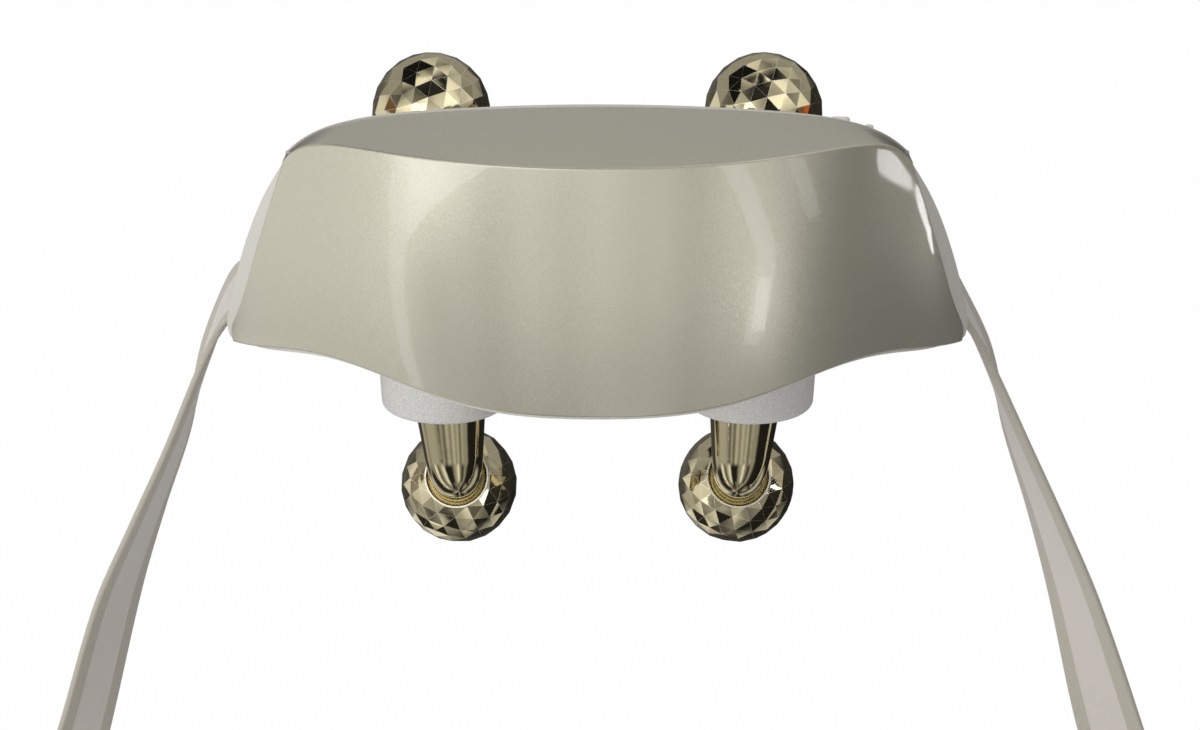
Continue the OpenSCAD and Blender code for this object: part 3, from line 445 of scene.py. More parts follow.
# Webbing on its own UV map in millimetres: a fine plain weave in the centre band and twill in the borders; the
# colour is darkened where the weave lies low, as painted shade, and lightened on its tops, as painted light
def weaveMaterial(name, centre, border, bandShare, width, ribPitch=0.62, warpPitch=0.55, twillPitch=0.9):
    material, tree, shader = startMaterial(name, Sheen_Weight=0.35, Sheen_Roughness=0.5, Specular_IOR_Level=0.25)
    uv = addNode(tree, "UVMap", {"uv_map": "cloth"}).outputs[0]
    across, along = addNode(tree, "SeparateXYZ", _0=uv).outputs[:2]
    offset = maths(tree, "ABSOLUTE", across)
    bandEdge = width / 2 * bandShare
    inBorder = ramp(tree, offset, bandEdge - 0.15, bandEdge + 0.15)

    def wave(value, pitch):
        return maths(tree, "SINE", maths(tree, "MULTIPLY", value, 2 * math.pi / pitch))

    plain = maths(tree, "MULTIPLY", wave(along, ribPitch), wave(across, warpPitch))
    twill = wave(maths(tree, "ADD", along, offset), twillPitch)
    weave = addNode(tree, "Mix", _0=inBorder, _2=plain, _3=twill).outputs[0]
    fuzz = noise(tree, uv, 3.0, 4.0)[0]
    height = maths(tree, "ADD", weave, maths(tree, "MULTIPLY", fuzz, 0.8))
    base = mixColour(tree, inBorder, (*centre, 1), (*border, 1))
    fill(tree, shader.inputs,
        # Painted shade and light: the colour follows the weave's height, darker in its low parts and lighter on its
        # tops
        Base_Color=shaded(tree, base, ramp(tree, height, -1.0, 1.8, 0.88, 1.05)),
        Roughness=ramp(tree, fuzz, 0.2, 0.8, 0.62, 0.8))
    bumped(tree, shader, height, 0.05, 0.7)
    return material


look = {
    "pearl": pearlMaterial("pearlShell", (0.56, 0.54, 0.443), 0.15, 0.09),
    "border": grainMaterial("softGreyBorder", (0.6, 0.585, 0.53), 0.22, 0.008),
    # The pod's last value is the strength of the painted shade in its grain's creases
    "pod": grainMaterial("podSkin", (0.64, 0.625, 0.6), 0.75, 0.07, 0.26),
    # The second colour is the painted highlight on the facets' chamfers and in the dish
    "gold": polishedMaterial("champagneMetal", (0.76, 0.68, 0.45), (0.93, 0.89, 0.76), 0.05, 0.035),
    "button": smoothMaterial("buttonCap", (0.66, 0.65, 0.61), 0.22, smear=0.1),
    "nylon": smoothMaterial("naturalNylon", (0.74, 0.71, 0.6), 0.42, smear=0.15, scratch=0.004),
    "steel": smoothMaterial("machinedSteel", (0.56, 0.56, 0.57), 0.3, 1.0, 0.2, 0.08, 0.002),
    "wrap": smoothMaterial("cellWrap", (0.04, 0.11, 0.32), 0.25, smear=0.12, cloud=0.15),
    "board": boardMaterial(),
    "strap": weaveMaterial("strapWebbing", (0.56, 0.52, 0.48), (0.42, 0.39, 0.33), 0.56, 24),
    "thread": smoothMaterial("sewingThread", (0.6, 0.57, 0.5), 0.7, smear=0.1),
}
print("materials made:", len(look))

# Shell: both covers follow the same outlines. u runs from -1 to 1 across the width, v from 0 to 1 up the height,
# and w from 0 to 1 back over the deck

shell = SimpleNamespace(
    frontR=130, bulge=3.5, crestZ=73.1, lowZ=-8.5, archH=9.5, archA=145, tipDrop=2,
    crestDrop=10.8, wingA=67.9, topA=49.7, footTrim=2.4, footSpan=0.08,
    deckZ=77.3, deckFall=6, deckDrop=8.8, wall=2.4, borderW=4.6, frontCy=40, midZ=32,
    halfH=41, deckY=-38, rearY=-33.5, wingInR=118, rearA=51.4, gap=0.3, lip=3, belly=6,
    fillet=3, bendA=49, bendU=0.75, bendSpan=5.3, cornerDrop=4.4, edgeR=0.7, crestR=0.7,
    rearEdgeR=0.5, deckCrown=0.25, endTrim=3.2, lipShow=2, columns=181, cornerRows=12, rows=70,
)
borderA = math.degrees(shell.borderW / shell.frontR)


# x where a ray at that angle from the upright axis meets the deck's rear edge, or dy behind it
def rearX(angle, dy=0):
    return (shell.frontCy - (shell.deckY + dy)) * np.tan(np.radians(angle))


deckHalfW = rearX(shell.rearA)


# A point at that angle and distance round the throat's upright axis
def polar(angle, radius, z):
    a = np.radians(angle)
    return np.stack(np.broadcast_arrays(radius * np.sin(a), shell.frontCy - radius * np.cos(a), z), axis=-1)


# Radius of the front: less by the bulge at its top and foot, and by a fifth of it at the ends
def barrel(z, u):
    return shell.frontR - shell.bulge * (1 - 0.8 * u * u) * ((z - shell.midZ) / shell.halfH) ** 2


# Height of the front's lower edge: a sine to the fourth raises it by archH where u is 90 over archA, and it
# drops by tipDrop at the wing's tip
def lowEdge(u):
    arch = np.sin(np.radians(shell.archA * np.abs(u))) ** 4
    return shell.lowZ + shell.archH * arch - shell.tipDrop * np.abs(u) ** 6


# Height of the crest: nearly level, with a round fall at both ends
def topEdge(u):
    return shell.crestZ - u * u - shell.crestDrop * np.abs(u) ** 12


# Angle of the wing's end: it draws in up the height, and a little more at the very foot
def endAngle(v):
    foot = np.maximum(0, 1 - v / shell.footSpan) ** 2
    return shell.wingA - (shell.wingA - shell.topA) * v ** 1.07 - shell.footTrim * foot


# Height of the deck's rear edge, which falls towards both ends
def deckEdgeZ(x):
    t = np.minimum(np.abs(x), deckHalfW) / deckHalfW
    return shell.deckZ - shell.deckFall * t ** 2 - shell.deckDrop * t ** 10


# The deck's rear edge, shifted by dy and dz
def deckEdge(u, dy, dz):
    x = rearX(u * shell.rearA, dy)
    return np.stack(np.broadcast_arrays(x, shell.deckY + dy, deckEdgeZ(x) + dz), axis=-1)


# How far the outer cover's end stands back from the wing's tip: nothing at both corners, endTrim degrees between
def endTrim(v):
    return shell.endTrim * (1 - v ** 3) * (1 - np.maximum(0, 1 - v / 0.3) ** 2)


# The front: straight up between the two edges, on an arc that bulges at mid height
def front(u, v, depth, inset):
    end = endAngle(v)
    e = u * (end - endTrim(v)) / end
    z = mixed(lowEdge(e) + inset, topEdge(e) - inset, v)
    return polar(e * end - u * np.degrees(inset / shell.frontR), barrel(z, e) - depth, z)


# The line where the front meets the deck
def crest(u):
    z = topEdge(u)
    return polar(u * shell.topA, barrel(z, u), z)


# The deck: ruled from the crest to the rear edge, with a slight crown
def deck(u, w, sink):
    w = np.broadcast_to(w, u.shape)
    crown = shell.deckCrown * 4 * w * (1 - w) * (1 - u ** 8)
    lift = np.stack(np.broadcast_arrays(0, 0, crown - sink), axis=-1)
    return mixed(crest(u), deckEdge(u, 0, 0), w[..., None]) + lift


# The grid of u and v, finer at the foot, with the u and v of its border
def shellGrid():
    u = np.linspace(-1, 1, shell.columns)
    foot = np.linspace(0, shell.footSpan, shell.cornerRows)
    v = np.concatenate([foot, np.linspace(shell.footSpan, 1, shell.rows)[1:]])
    u, v = np.meshgrid(u, v, indexing="ij")
    rim = rimOrder(*u.shape)
    return u, v, u.ravel()[rim], v.ravel()[rim]


# The loops run from the front round its edges, over the end walls and the deck, and in along the inner face
def outerCover():
    u, v, ru, rv = shellGrid()
    onTop = (rv >= 1)[:, None]
    edge, wall, lip, rearEdge = shell.edgeR, shell.wall, shell.lip, shell.rearEdgeR
    corner = crest(ru)
    upFront = unit(corner - front(ru, 0.97 * np.ones_like(ru), 0, 0))
    alongDeck = deckEdge(ru, 0, 0) - corner
    deckLength = np.linalg.norm(alongDeck, axis=1, keepdims=True)
    alongDeck /= deckLength
    loops = []
    for t in np.linspace(0.02, 1, 9):  # the edges are rounded
        angle = t * math.pi / 2
        side = front(ru, rv, edge * (1 - math.cos(angle)), edge * (1 - math.sin(angle)))
        bend = (1 - t) ** 2 * (corner - shell.crestR * upFront) + 2 * t * (1 - t) * corner \
            + t * t * (corner + shell.crestR * alongDeck)
        loops.append(np.where(onTop, bend, side))
    for t in np.linspace(0.05, 1, 16):  # end walls on the sides, deck on top
        w = mixed(shell.crestR / deckLength[:, 0], 1 - rearEdge / deckLength[:, 0], t)
        loops.append(np.where(onTop, deck(ru, w, 0), front(ru, rv, mixed(edge, lip - 0.3, t), 0.1 * t)))
    for t in (0.3, 0.7, 1):  # the rear edges are rounded too
        s, c = math.sin(t * math.pi / 2), math.cos(t * math.pi / 2)
        back = deckEdge(ru, 0, 0) - alongDeck * rearEdge * (1 - s) - [0, 0, 1] * np.array(rearEdge * (1 - c))
        loops.append(np.where(onTop, back, front(ru, rv, lip - 0.3 + 0.3 * s, 0.1 + 0.3 * (1 - c))))
    loops.append(np.where(onTop, deck(ru, 1, wall), front(ru, rv, lip, 1.7)))
    loops.append(np.where(onTop, deck(ru, 0.5, wall), front(ru, rv, wall + 0.2, 1.9)))
    first = front(u, v, 0, mixed(edge, shell.crestR, v ** 20))
    return closedCup("outer_cover_shell", first, loops, front(u, v, wall, 2.4))


newPiece("outer_cover_shell", outerCover(), "housing", ["outer_cover"], "pearl_shell", look["pearl"], 50, True)
print("outer cover made")


# The neck wall is flat as far as the bend, turns, and then follows the wing's arc
def neckR(a):
    depth = shell.frontCy - shell.rearY
    flat, flatR = depth / np.cos(np.radians(np.minimum(a, 60))), depth / math.cos(math.radians(shell.bendA))
    turn = np.maximum(0, 1 - (a - shell.bendA) / shell.bendSpan) ** 2
    return np.where(a < shell.bendA, flat, shell.wingInR - (shell.wingInR - flatR) * turn)


# How much longer a depth is along a radius than square to the neck wall: 1 over the cosine on the flat part
def slant(a):
    return mixed(1 / np.cos(np.radians(np.minimum(a, 45))), 1, np.clip((a - 45) / 10, 0, 1))


# Angle of the tray's end: past the wing's end by grow, less so higher up, and out to the deck's corner at the top
def trayEnd(v, grow):
    return endAngle(v) + (shell.rearA - shell.topA) * v ** 16 + grow * (1 - 0.8 * v ** 6)


# Angle of the tray at u: even as far as the bend, then on to the end
def trayA(u, v, grow):
    size = np.abs(u)
    s = (np.maximum(0, size - shell.bendU) / (1 - shell.bendU)) ** 1.5
    return np.sign(u) * np.where(size <= shell.bendU, shell.bendA * size / shell.bendU,
        mixed(shell.bendA, trayEnd(v, grow), s))


# The tray's u as a share of the wing's angle at the foot, as the outer cover's edges take it
def trayU(u):
    return trayA(u, 0.0, 0.0) / endAngle(np.array(0.0))


# The neck side, whose underside bellies down between the wings
def neckSide(u, v, depth, inset):
    a = trayA(u, v, borderA - np.degrees(inset / shell.wingInR))
    low = lowEdge(trayU(u)) - shell.belly * (1 - np.abs(trayU(u)) ** 2.6)
    z = mixed(low + inset, deckEdgeZ(rearX(np.abs(trayA(u, 1.0, borderA)))) + 0.4 - inset, v)
    return polar(a, neckR(np.abs(a)) + depth * slant(np.abs(a)), z)


# The tray's own run of the front: sunk by depth, past the end by grow, raised by lift at the foot
def trayFront(u, v, depth, grow, lift):
    e = trayU(u)
    z = mixed(lowEdge(e) + lift, topEdge(e), v)
    return polar(trayA(u, v, grow), barrel(z, e) - depth - shell.cornerDrop * v ** 12, z)


# The tray's rim behind the deck
def trayRim(u, dy, dz):
    return deckEdge(trayA(u, 1.0, borderA) / shell.rearA, dy, dz)


pivotX = 49.25
armY = -20
screwPlaces = [(80, 50), (80, 12), (-80, 50), (-80, 12), (0, 66)]
rearFittings = SimpleNamespace(
    chassisY=-50, chinR=8.2, chinWall=1.6, chinTop=-1.5, headR=3.1, headDepth=2,
    powerX=76.2, powerW=6.4, powerH=3.4, modeX=85.4, modeR=1.5, buttonGap=0.25, podGap=0.35,
    socketY=-66, socketW=9.8, socketH=4, slotZ=7.6, slotT=3.4, slotW=24.4,
    slots=[(112.5, -7.5, 67.3), (108.9, -16.6, 61)],  # the strap's way out: x, y and turn of each part
)
pod = SimpleNamespace(r=21.2, h=28.7, draft=1, rim=2.2, wall=2, slotR=12, slotShift=5.3, hubR=7.4)
arcPoints = 17


# Points of a flat bar with round ends: two half circles set apart by width less height
def stadiumOutline(width, height):
    t = np.radians(np.linspace(-90, 90, arcPoints))
    shift, r = (width - height) / 2, height / 2
    right = np.stack([shift + r * np.cos(t), r * np.sin(t)], axis=1)
    return np.concatenate([right, -right])


# Such bars stacked along Z: each level is (width, height, z)
def stackedMesh(name, levels):
    count = 2 * arcPoints
    rings = [np.column_stack([stadiumOutline(w, h), np.full(count, z)]) for w, h, z in levels]
    faces = [list(f) for f in gridFaces(len(levels), count, loop=True)]
    last = (len(levels) - 1) * count
    faces += [list(range(count))[::-1], list(range(last, last + count))]
    return tidyMesh(meshFrom(name, np.concatenate(rings), faces))


def stadiumMesh(name, width, height, low, high):
    return stackedMesh(name, [(width, height, low), (width, height, high)])


# Puts a button's mesh, drawn with +Z out of the shoulder, in its place
def atButton(mesh, x):
    return moved(mesh, turned("x", -45), (x, shell.rearY, float(deckEdgeZ(np.array(x))) - 1))


# Half profile of a pod: a point on the axis, a rounded rim and a drafted side, then the same mirrored
def podProfile(grow):
    h, e = pod.h + grow, pod.r - pod.draft + grow
    f = max(0.3, pod.rim + grow)
    t = quarter(13)
    corner = np.stack([e - f + f * np.sin(t), h - f + f * np.cos(t)], axis=1)
    side = [[pod.r + grow - pod.draft * (z / (h - f)) ** 2, z] for z in np.linspace(h - f, 0, 9)[1:]]
    upper = np.concatenate([[[0, h]], corner, side])
    return np.concatenate([upper, (upper * [1, -1])[::-1][1:]])


# The tray as one skin: neck side, rounded edge, border or underside or rim, and the inner face
def traySkin():
    u, v, ru, rv = shellGrid()
    onTop = ((rv >= 1) & (np.abs(ru) < 1))[:, None]
    onBase = (rv <= 0)[:, None]
    gap, fillet, seat = shell.gap, shell.fillet, shell.lip + shell.gap
    loops = []
    for t in np.linspace(0.06, 1, 8):
        angle = t * math.pi / 2
        loops.append(neckSide(ru, rv, fillet * (1 - math.cos(angle)), fillet * (1 - math.sin(angle))))
    trim = endTrim(rv) / np.maximum(0.2, 1 - 0.8 * rv ** 6)
    show = shell.lipShow * (1 - np.abs(ru) ** 12)
    sideStops = [(1.6, borderA, 0), (0.7, borderA - 0.5, 0), (0.7, 0.14 - trim, 0), (seat, 0.1 - trim, 0),
        (seat + 0.1, -1 - trim, 0)]
    baseStops = [(seat, -0.6, -show), (seat - 0.1, -0.7, 0.8 - show), (seat, -0.8, 2.2),
        (shell.lip + 1, -0.9, 2.6), (shell.lip + 4, -1.2, 2)]
    topStops = [(gap, 0.4), (gap, 0.1), (gap, -1.6), (gap + 0.1, -2.4), (gap + 0.2, -3)]
    stops = [loops[-1]]
    for side, base, top in zip(sideStops, baseStops, topStops):
        ends = np.where(onBase, trayFront(ru, rv, *base), trayFront(ru, rv, *side))
        stops.append(np.where(onTop, trayRim(ru, *top), ends))
    inner = neckSide(u, v, shell.wall, fillet + 1)
    stops.append(inner.reshape(-1, 3)[rimOrder(*u.shape)])
    loops += roundedRoute(stops, 0.5, 3)[1:-1]
    return closedCup("rear_cover_tray", neckSide(u, v, 0, fillet), loops, inner)


# The tray with a chin under each gear's hub added, and cut for hubs, pods, straps, screws, socket and buttons
def rearCover():
    fit = rearFittings
    added, cuts, lateCuts = [], [], []
    for side in sides.values():
        x = side * pivotX
        chin = rodY("chin", x, fit.chassisY - 4, 0, fit.chinR + fit.chinWall, 18)
        added.append(combined(chin, [boxMesh("top", (x - 20, -60, fit.chinTop), (x + 20, -20, 20))]))
        lateCuts.append(rodY("hub", x, fit.chassisY - 2.4, 0, fit.chinR, 20))
        below = [[pod.r + fit.podGap, -40], [0, -40]]
        window = lathe("window", np.concatenate([podProfile(fit.podGap)[:22], below]))
        cuts.append(moved(window, shift=(x, armY, 0)))
        for (slotX, y, turn), cutList in zip(fit.slots, (cuts, lateCuts)):
            corner = np.array([10, fit.slotT / 2, fit.slotW / 2])
            slot = boxMesh("slot", -corner, corner)
            cutList.append(moved(slot, turned("z", side * turn), (side * slotX, y, fit.slotZ)))
    for x, z in screwPlaces:
        cuts.append(rodY("head", x, shell.rearY - fit.headDepth, z, fit.headR, 10, 48))
    socket = stadiumMesh("socket", fit.socketW, fit.socketH, -20, 0)
    cuts.append(moved(socket, shift=(0, fit.socketY, 0)))
    around = 2 * fit.buttonGap
    power = stadiumMesh("power", fit.powerW + around, fit.powerH + around, -5.5, 5)
    cuts.append(atButton(power, fit.powerX))
    hole = fit.modeR + fit.buttonGap
    cuts.append(atButton(lathe("mode", [(0, -5.5), (hole, -5.5), (hole, 5), (0, 5)], 48), fit.modeX))
    tray = combined(traySkin(), [joined(added)], "UNION")
    return combined(tray, [joined(cuts), joined(lateCuts)])


newPiece("rear_cover_tray", rearCover(), "housing", ["rear_cover"], "cover_border", look["border"], 40, True)
print("rear cover made")

# Buttons: stem, flange and a cap whose edge is rounded and whose face is dished

button = SimpleNamespace(
    rise=0.3, edge=0.3, dish=0.12, flangeTop=-4.5, flangeT=1.2, stemR=1.1, stemEnd=-8.6,
)
buttonKinds = {  # width, height, how far the flange stands out in both directions, x
    "power_button": (rearFittings.powerW, rearFittings.powerH, (0.6, 0), rearFittings.powerX),
    "mode_button": (2 * rearFittings.modeR, 2 * rearFittings.modeR, (0.4, 0.4), rearFittings.modeX),
}


def buttonMesh(name, width, height, flangeW, x):
    rise, edge, stemW = button.rise, button.edge, 2 * button.stemR
    flangeLow = button.flangeTop - button.flangeT
    levels = [(stemW, stemW, z) for z in (button.stemEnd, flangeLow)]
    levels += [(width + 2 * flangeW[0], height + 2 * flangeW[1], z) for z in (flangeLow, button.flangeTop)]
    levels.append((width, height, button.flangeTop))
    for t in quarter(9):
        inset = 2 * edge * (1 - math.cos(t))
        levels.append((width - inset, height - inset, rise - edge + edge * math.sin(t)))
    for t in np.linspace(0.15, 0.9, 6):
        inset = 2 * edge + (height - 2 * edge) * t
        levels.append((width - inset, height - inset, rise - button.dish * (1 - (1 - t) ** 2)))
    return atButton(stackedMesh(name, levels), x)


for name, kind in buttonKinds.items():
    newPiece(name + "_cap", buttonMesh(name, *kind), name, [name], "button_cap", look["button"], 50)

# Housing screws: a rounded head with a cross pressed into it, on a plain shank

screw = SimpleNamespace(
    shankR=1.5, shankL=20, tip=0.3, tipL=0.6, headR=2.8, headH=1.8, edge=0.5,
    crossL=3.6, crossW=0.8, crossDeep=1.1,
)


# One screw along +Y, its head seated at y = 0, its face out at y = headH
def screwMesh():
    r, h, e = screw.headR, screw.headH, screw.edge
    shankR, end = screw.shankR, -screw.shankL
    t = quarter(8)
    rounding = np.stack([r - e + e * np.cos(t), h - e + e * np.sin(t)], axis=1)
    shank = [(0, end), (shankR - screw.tip, end), (shankR, screw.tipL + end), (shankR, 0)]
    body = lathe("screw", [*shank, (r, 0), *rounding, (0, h)], 48)
    along, across, low = screw.crossL / 2, screw.crossW / 2, h - screw.crossDeep
    bars = [boxMesh("cross", (-x, -y, low), (x, y, h + 1)) for x, y in ((along, across), (across, along))]
    return moved(combined(body, bars), alongY)


oneScrew = screwMesh()
allScrews = [
    moved(oneScrew.copy(), turned("y", 20 + 37 * k), (x, shell.rearY - rearFittings.headDepth, z))
    for k, (x, z) in enumerate(screwPlaces)]
newPiece("housing_screws_crossed", joined(allScrews), "housing", ["housing_screws"], "steel", look["steel"], 40)
print("buttons and screws made")

# Pods

for sideName, side in sides.items():
    inner = lathe("inner", podProfile(-pod.wall), 160)
    drum = combined(lathe(sideName + "_pod_drum", podProfile(0), 160), [inner])
    slot = stadiumMesh("slot", 2 * (pod.slotR + pod.slotShift), 2 * pod.slotR, -40, 40)
    back = rodY("hub", 0, -30, 0, pod.hubR, 20)
    drum = moved(combined(drum, [slot, back]), shift=(side * pivotX, armY, 0))
    newPiece(sideName + "_pod_drum", drum, "housing", [sideName + "_pod"], "pod_skin", look["pod"], 40, True)
print("pods made")

# Claws: drawn upright round the rocking axis, then tilted

claw = SimpleNamespace(
    tilt=3.53, ballZ=64.1, ballR=19, rootR=12.4, tipR=8, bendR=14, bend=60, postTop=20,
    spigotR=5, spigotL=8.8, spindleR=3, ballGap=14.1, rootEdge=0.8, tipEdge=0.6, columns=96,
)
ball = SimpleNamespace(
    split=4, turnX=12, turnY=20, facetEdge=0.09, skinShare=0.93, chamferArea=1.3,
    dishR=9.8, flareW=3.3, flareRise=2.6, dishFloor=13.6, dishRim=16.7, collar=0.7,
    collarEdge=0.15, dishHighlight=1, boreR=4.72, boreLow=0.95, hollowR=6, hollowLow=-4, seam=0.04,
)
bendRad = math.radians(claw.bend)
armEnd = (-claw.ballGap * math.sin(bendRad), claw.ballZ - claw.ballGap * math.cos(bendRad))
bendY = armY + claw.bendR * (1 - math.cos(bendRad))
armTail = (armEnd[0] - bendY) / math.sin(bendRad)
armRise = armEnd[1] - armTail * math.cos(bendRad) - claw.bendR * math.sin(bendRad) - claw.postTop
armArc = claw.bendR * bendRad
armLength = armRise + armArc + armTail


# Puts a mesh drawn for the upright upper claw on its side, upper or lower, tilted as stored
def inClaw(mesh, side, up):
    matrix = turned("y", side * claw.tilt) @ np.diag([1, 1, up])
    return moved(mesh, matrix, (side * pivotX, 0, 0))


# +Z points from the ball's middle to the arm
def atBall(mesh):
    return moved(mesh, turned("x", 60 + claw.bend), (0, 0, claw.ballZ))


# The arm's (length, radius) stops: spigot, rounded root, taper, rounded tip and spindle
def armProfile():
    spigotL, spigotR, spindleR = claw.spigotL, claw.spigotR, claw.spindleR
    stops = [(-spigotL, 0), (-spigotL, spigotR - 0.5), (0.5 - spigotL, spigotR), (0, spigotR)]
    edge = claw.rootEdge
    for t in quarter(8):
        stops.append((edge * (1 - math.cos(t)), claw.rootR - edge * (1 - math.sin(t))))
    body = np.linspace(edge, armLength - claw.tipEdge, 90)[1:]
    stops += [(s, mixed(claw.rootR, claw.tipR, s / armLength)) for s in body]
    edge = claw.tipEdge
    for t in quarter(6, 10):
        stops.append((armLength - edge * (1 - math.sin(t)), claw.tipR - edge * (1 - math.cos(t))))
    end = armLength + claw.ballGap + 1
    return stops + [(armLength, spindleR), (end - 0.4, spindleR), (end, spindleR - 0.4), (end, 0)]


# A round profile carried along a line that rises, turns through the bend and runs straight to the ball
def armMesh(name):
    s, r = np.array(armProfile()).T
    turn = np.clip((s - armRise) / armArc, 0, 1) * bendRad
    tail = np.maximum(0, s - armRise - armArc)
    y = armY + claw.bendR * (1 - np.cos(turn)) + tail * np.sin(turn)
    z = claw.postTop + np.minimum(s, armRise) + claw.bendR * np.sin(turn) + tail * np.cos(turn)
    angle = np.arange(claw.columns) * 2 * np.pi / claw.columns
    x, across = r[:, None] * np.cos(angle), r[:, None] * np.sin(angle)
    points = np.stack([x, y[:, None] + across * np.cos(turn)[:, None], z[:, None] - across * np.sin(turn)[:, None]],
        axis=-1)
    return tidyMesh(meshFrom(name, points, gridFaces(len(s), claw.columns, loop=True)))


# Flat facets: an icosahedron's faces split evenly, pushed out to the ball, with every edge cut by a fine chamfer
def geodesicMesh(name):
    g = (1 + math.sqrt(5)) / 2
    corners = np.array([p for s in (-1, 1) for t in (-g, g) for p in ((0, s, t), (s, t, 0), (t, 0, s))], float)
    near = np.linalg.norm(corners[:, None] - corners[None], axis=-1) < 2.1  # an edge is 2 long
    split, points = ball.split, []
    for a, b, c in itertools.combinations(range(12), 3):
        if near[a, b] and near[b, c] and near[a, c]:
            for i, j in itertools.product(range(split + 1), repeat=2):
                if i + j <= split:
                    points.append(corners[a] * i + corners[b] * j + corners[c] * (split - i - j))
    points = np.array(points)
    points *= claw.ballR / np.linalg.norm(points, axis=1, keepdims=True)
    points = points @ (turned("y", ball.turnY) @ turned("x", ball.turnX)).T
    bm = bmesh.new()
    for p in points * mm:
        bm.verts.new(p)
    bmesh.ops.remove_doubles(bm, verts=bm.verts, dist=1e-6)
    bmesh.ops.convex_hull(bm, input=bm.verts)
    bmesh.ops.bevel(bm, geom=bm.edges[:], offset=ball.facetEdge * mm, segments=1, affect="EDGES")
    mesh = bpy.data.meshes.new(name)
    bm.to_mesh(mesh)
    bm.free()
    return tidyMesh(mesh, 0.0005)


# The hollow round the spindle: bore, floor and a rounded flare out to the collar
def dishCutter():
    dishR, floor, bore, flareW = ball.dishR, ball.dishFloor, ball.boreR, ball.flareW
    t = quarter(24)
    flare = np.stack([dishR - flareW + flareW * np.sin(t), floor + ball.flareRise * (1 - np.cos(t))], axis=1)
    profile = [(0, ball.hollowLow), (ball.hollowR, ball.hollowLow), (ball.hollowR, ball.boreLow),
        (bore, ball.boreLow), (bore, floor - 0.3), (bore + 0.3, floor), *flare,
        (dishR + 0.02, ball.dishRim - 0.12), (dishR + 0.12, ball.dishRim + 0.02), (dishR + 0.12, 25), (0, 25)]
    return lathe("dish", profile, 128)


# The smooth ring round the dish
def collarMesh():
    outer, top, edge = ball.dishR + ball.collar, ball.dishRim, ball.collarEdge
    t = quarter(18)
    rounding = np.stack([outer - edge + edge * np.cos(t), top - edge + edge * np.sin(t)], axis=1)
    return lathe("collar", [(0, 12), (outer, 12), *rounding, (0, top)], 128)


# Marks the fine chamfers, which are faces on the ball's skin much smaller than a facet, and the dish, where the
# material paints a highlight in a paler colour
def markEdges(mesh):
    count = len(mesh.polygons)
    centre, area = np.zeros(count * 3), np.zeros(count)
    mesh.polygons.foreach_get("center", centre)
    mesh.polygons.foreach_get("area", area)
    centre = centre.reshape(-1, 3) / mm
    fromSpindle, collarR = np.hypot(centre[:, 0], centre[:, 1]), ball.dishR + ball.collar
    onSkin = (np.linalg.norm(centre, axis=1) > ball.skinShare * claw.ballR) \
        & ((fromSpindle > collarR + 0.1) | (centre[:, 2] < 0))
    inDish = (fromSpindle < collarR) & (centre[:, 2] > ball.dishFloor - 1)
    # The chamfers and the dish get the painted highlight
    value = (onSkin & (area < ball.chamferArea * mm * mm)) + ball.dishHighlight * inDish
    mesh.attributes.new("paintedEdgeHighlight", "FLOAT", "FACE").data.foreach_set("value", value.astype(np.float32))


# Half a ball at the origin, cut along the plane of the spindle and the wing
def ballHalf(half):
    whole = combined(geodesicMesh("ball"), [collarMesh()], "UNION")
    low, high = (ball.seam, 30) if half > 0 else (-30, -ball.seam)
    keep = boxMesh("keep", (-30, low, -30), (30, high, 30))
    mesh = combined(combined(whole, [keep], "INTERSECT"), [dishCutter()])
    markEdges(mesh)
    return mesh


halves = {half: ballHalf(half) for half in (1, -1)}
for (sideName, side), (level, up) in itertools.product(sides.items(), (("upper", 1), ("lower", -1))):
    arm, gold = f"{sideName}_{level}_arm", ("champagne_metal", look["gold"])
    newPiece(arm + "_tube", inClaw(armMesh(arm), side, up), sideName + "_claw", [arm], *gold, 50)
    for part, half in (("top", up), ("base", -up)):
        node = f"{sideName}_{level}_ball_{part}"
        mesh = inClaw(atBall(halves[half].copy()), side, up)
        newPiece(node + "_facets", mesh, f"{sideName}_{level}_ball", [node], *gold, 7)
print("claws made")

# Straps: the section at each station runs through a near, a middle and a far point

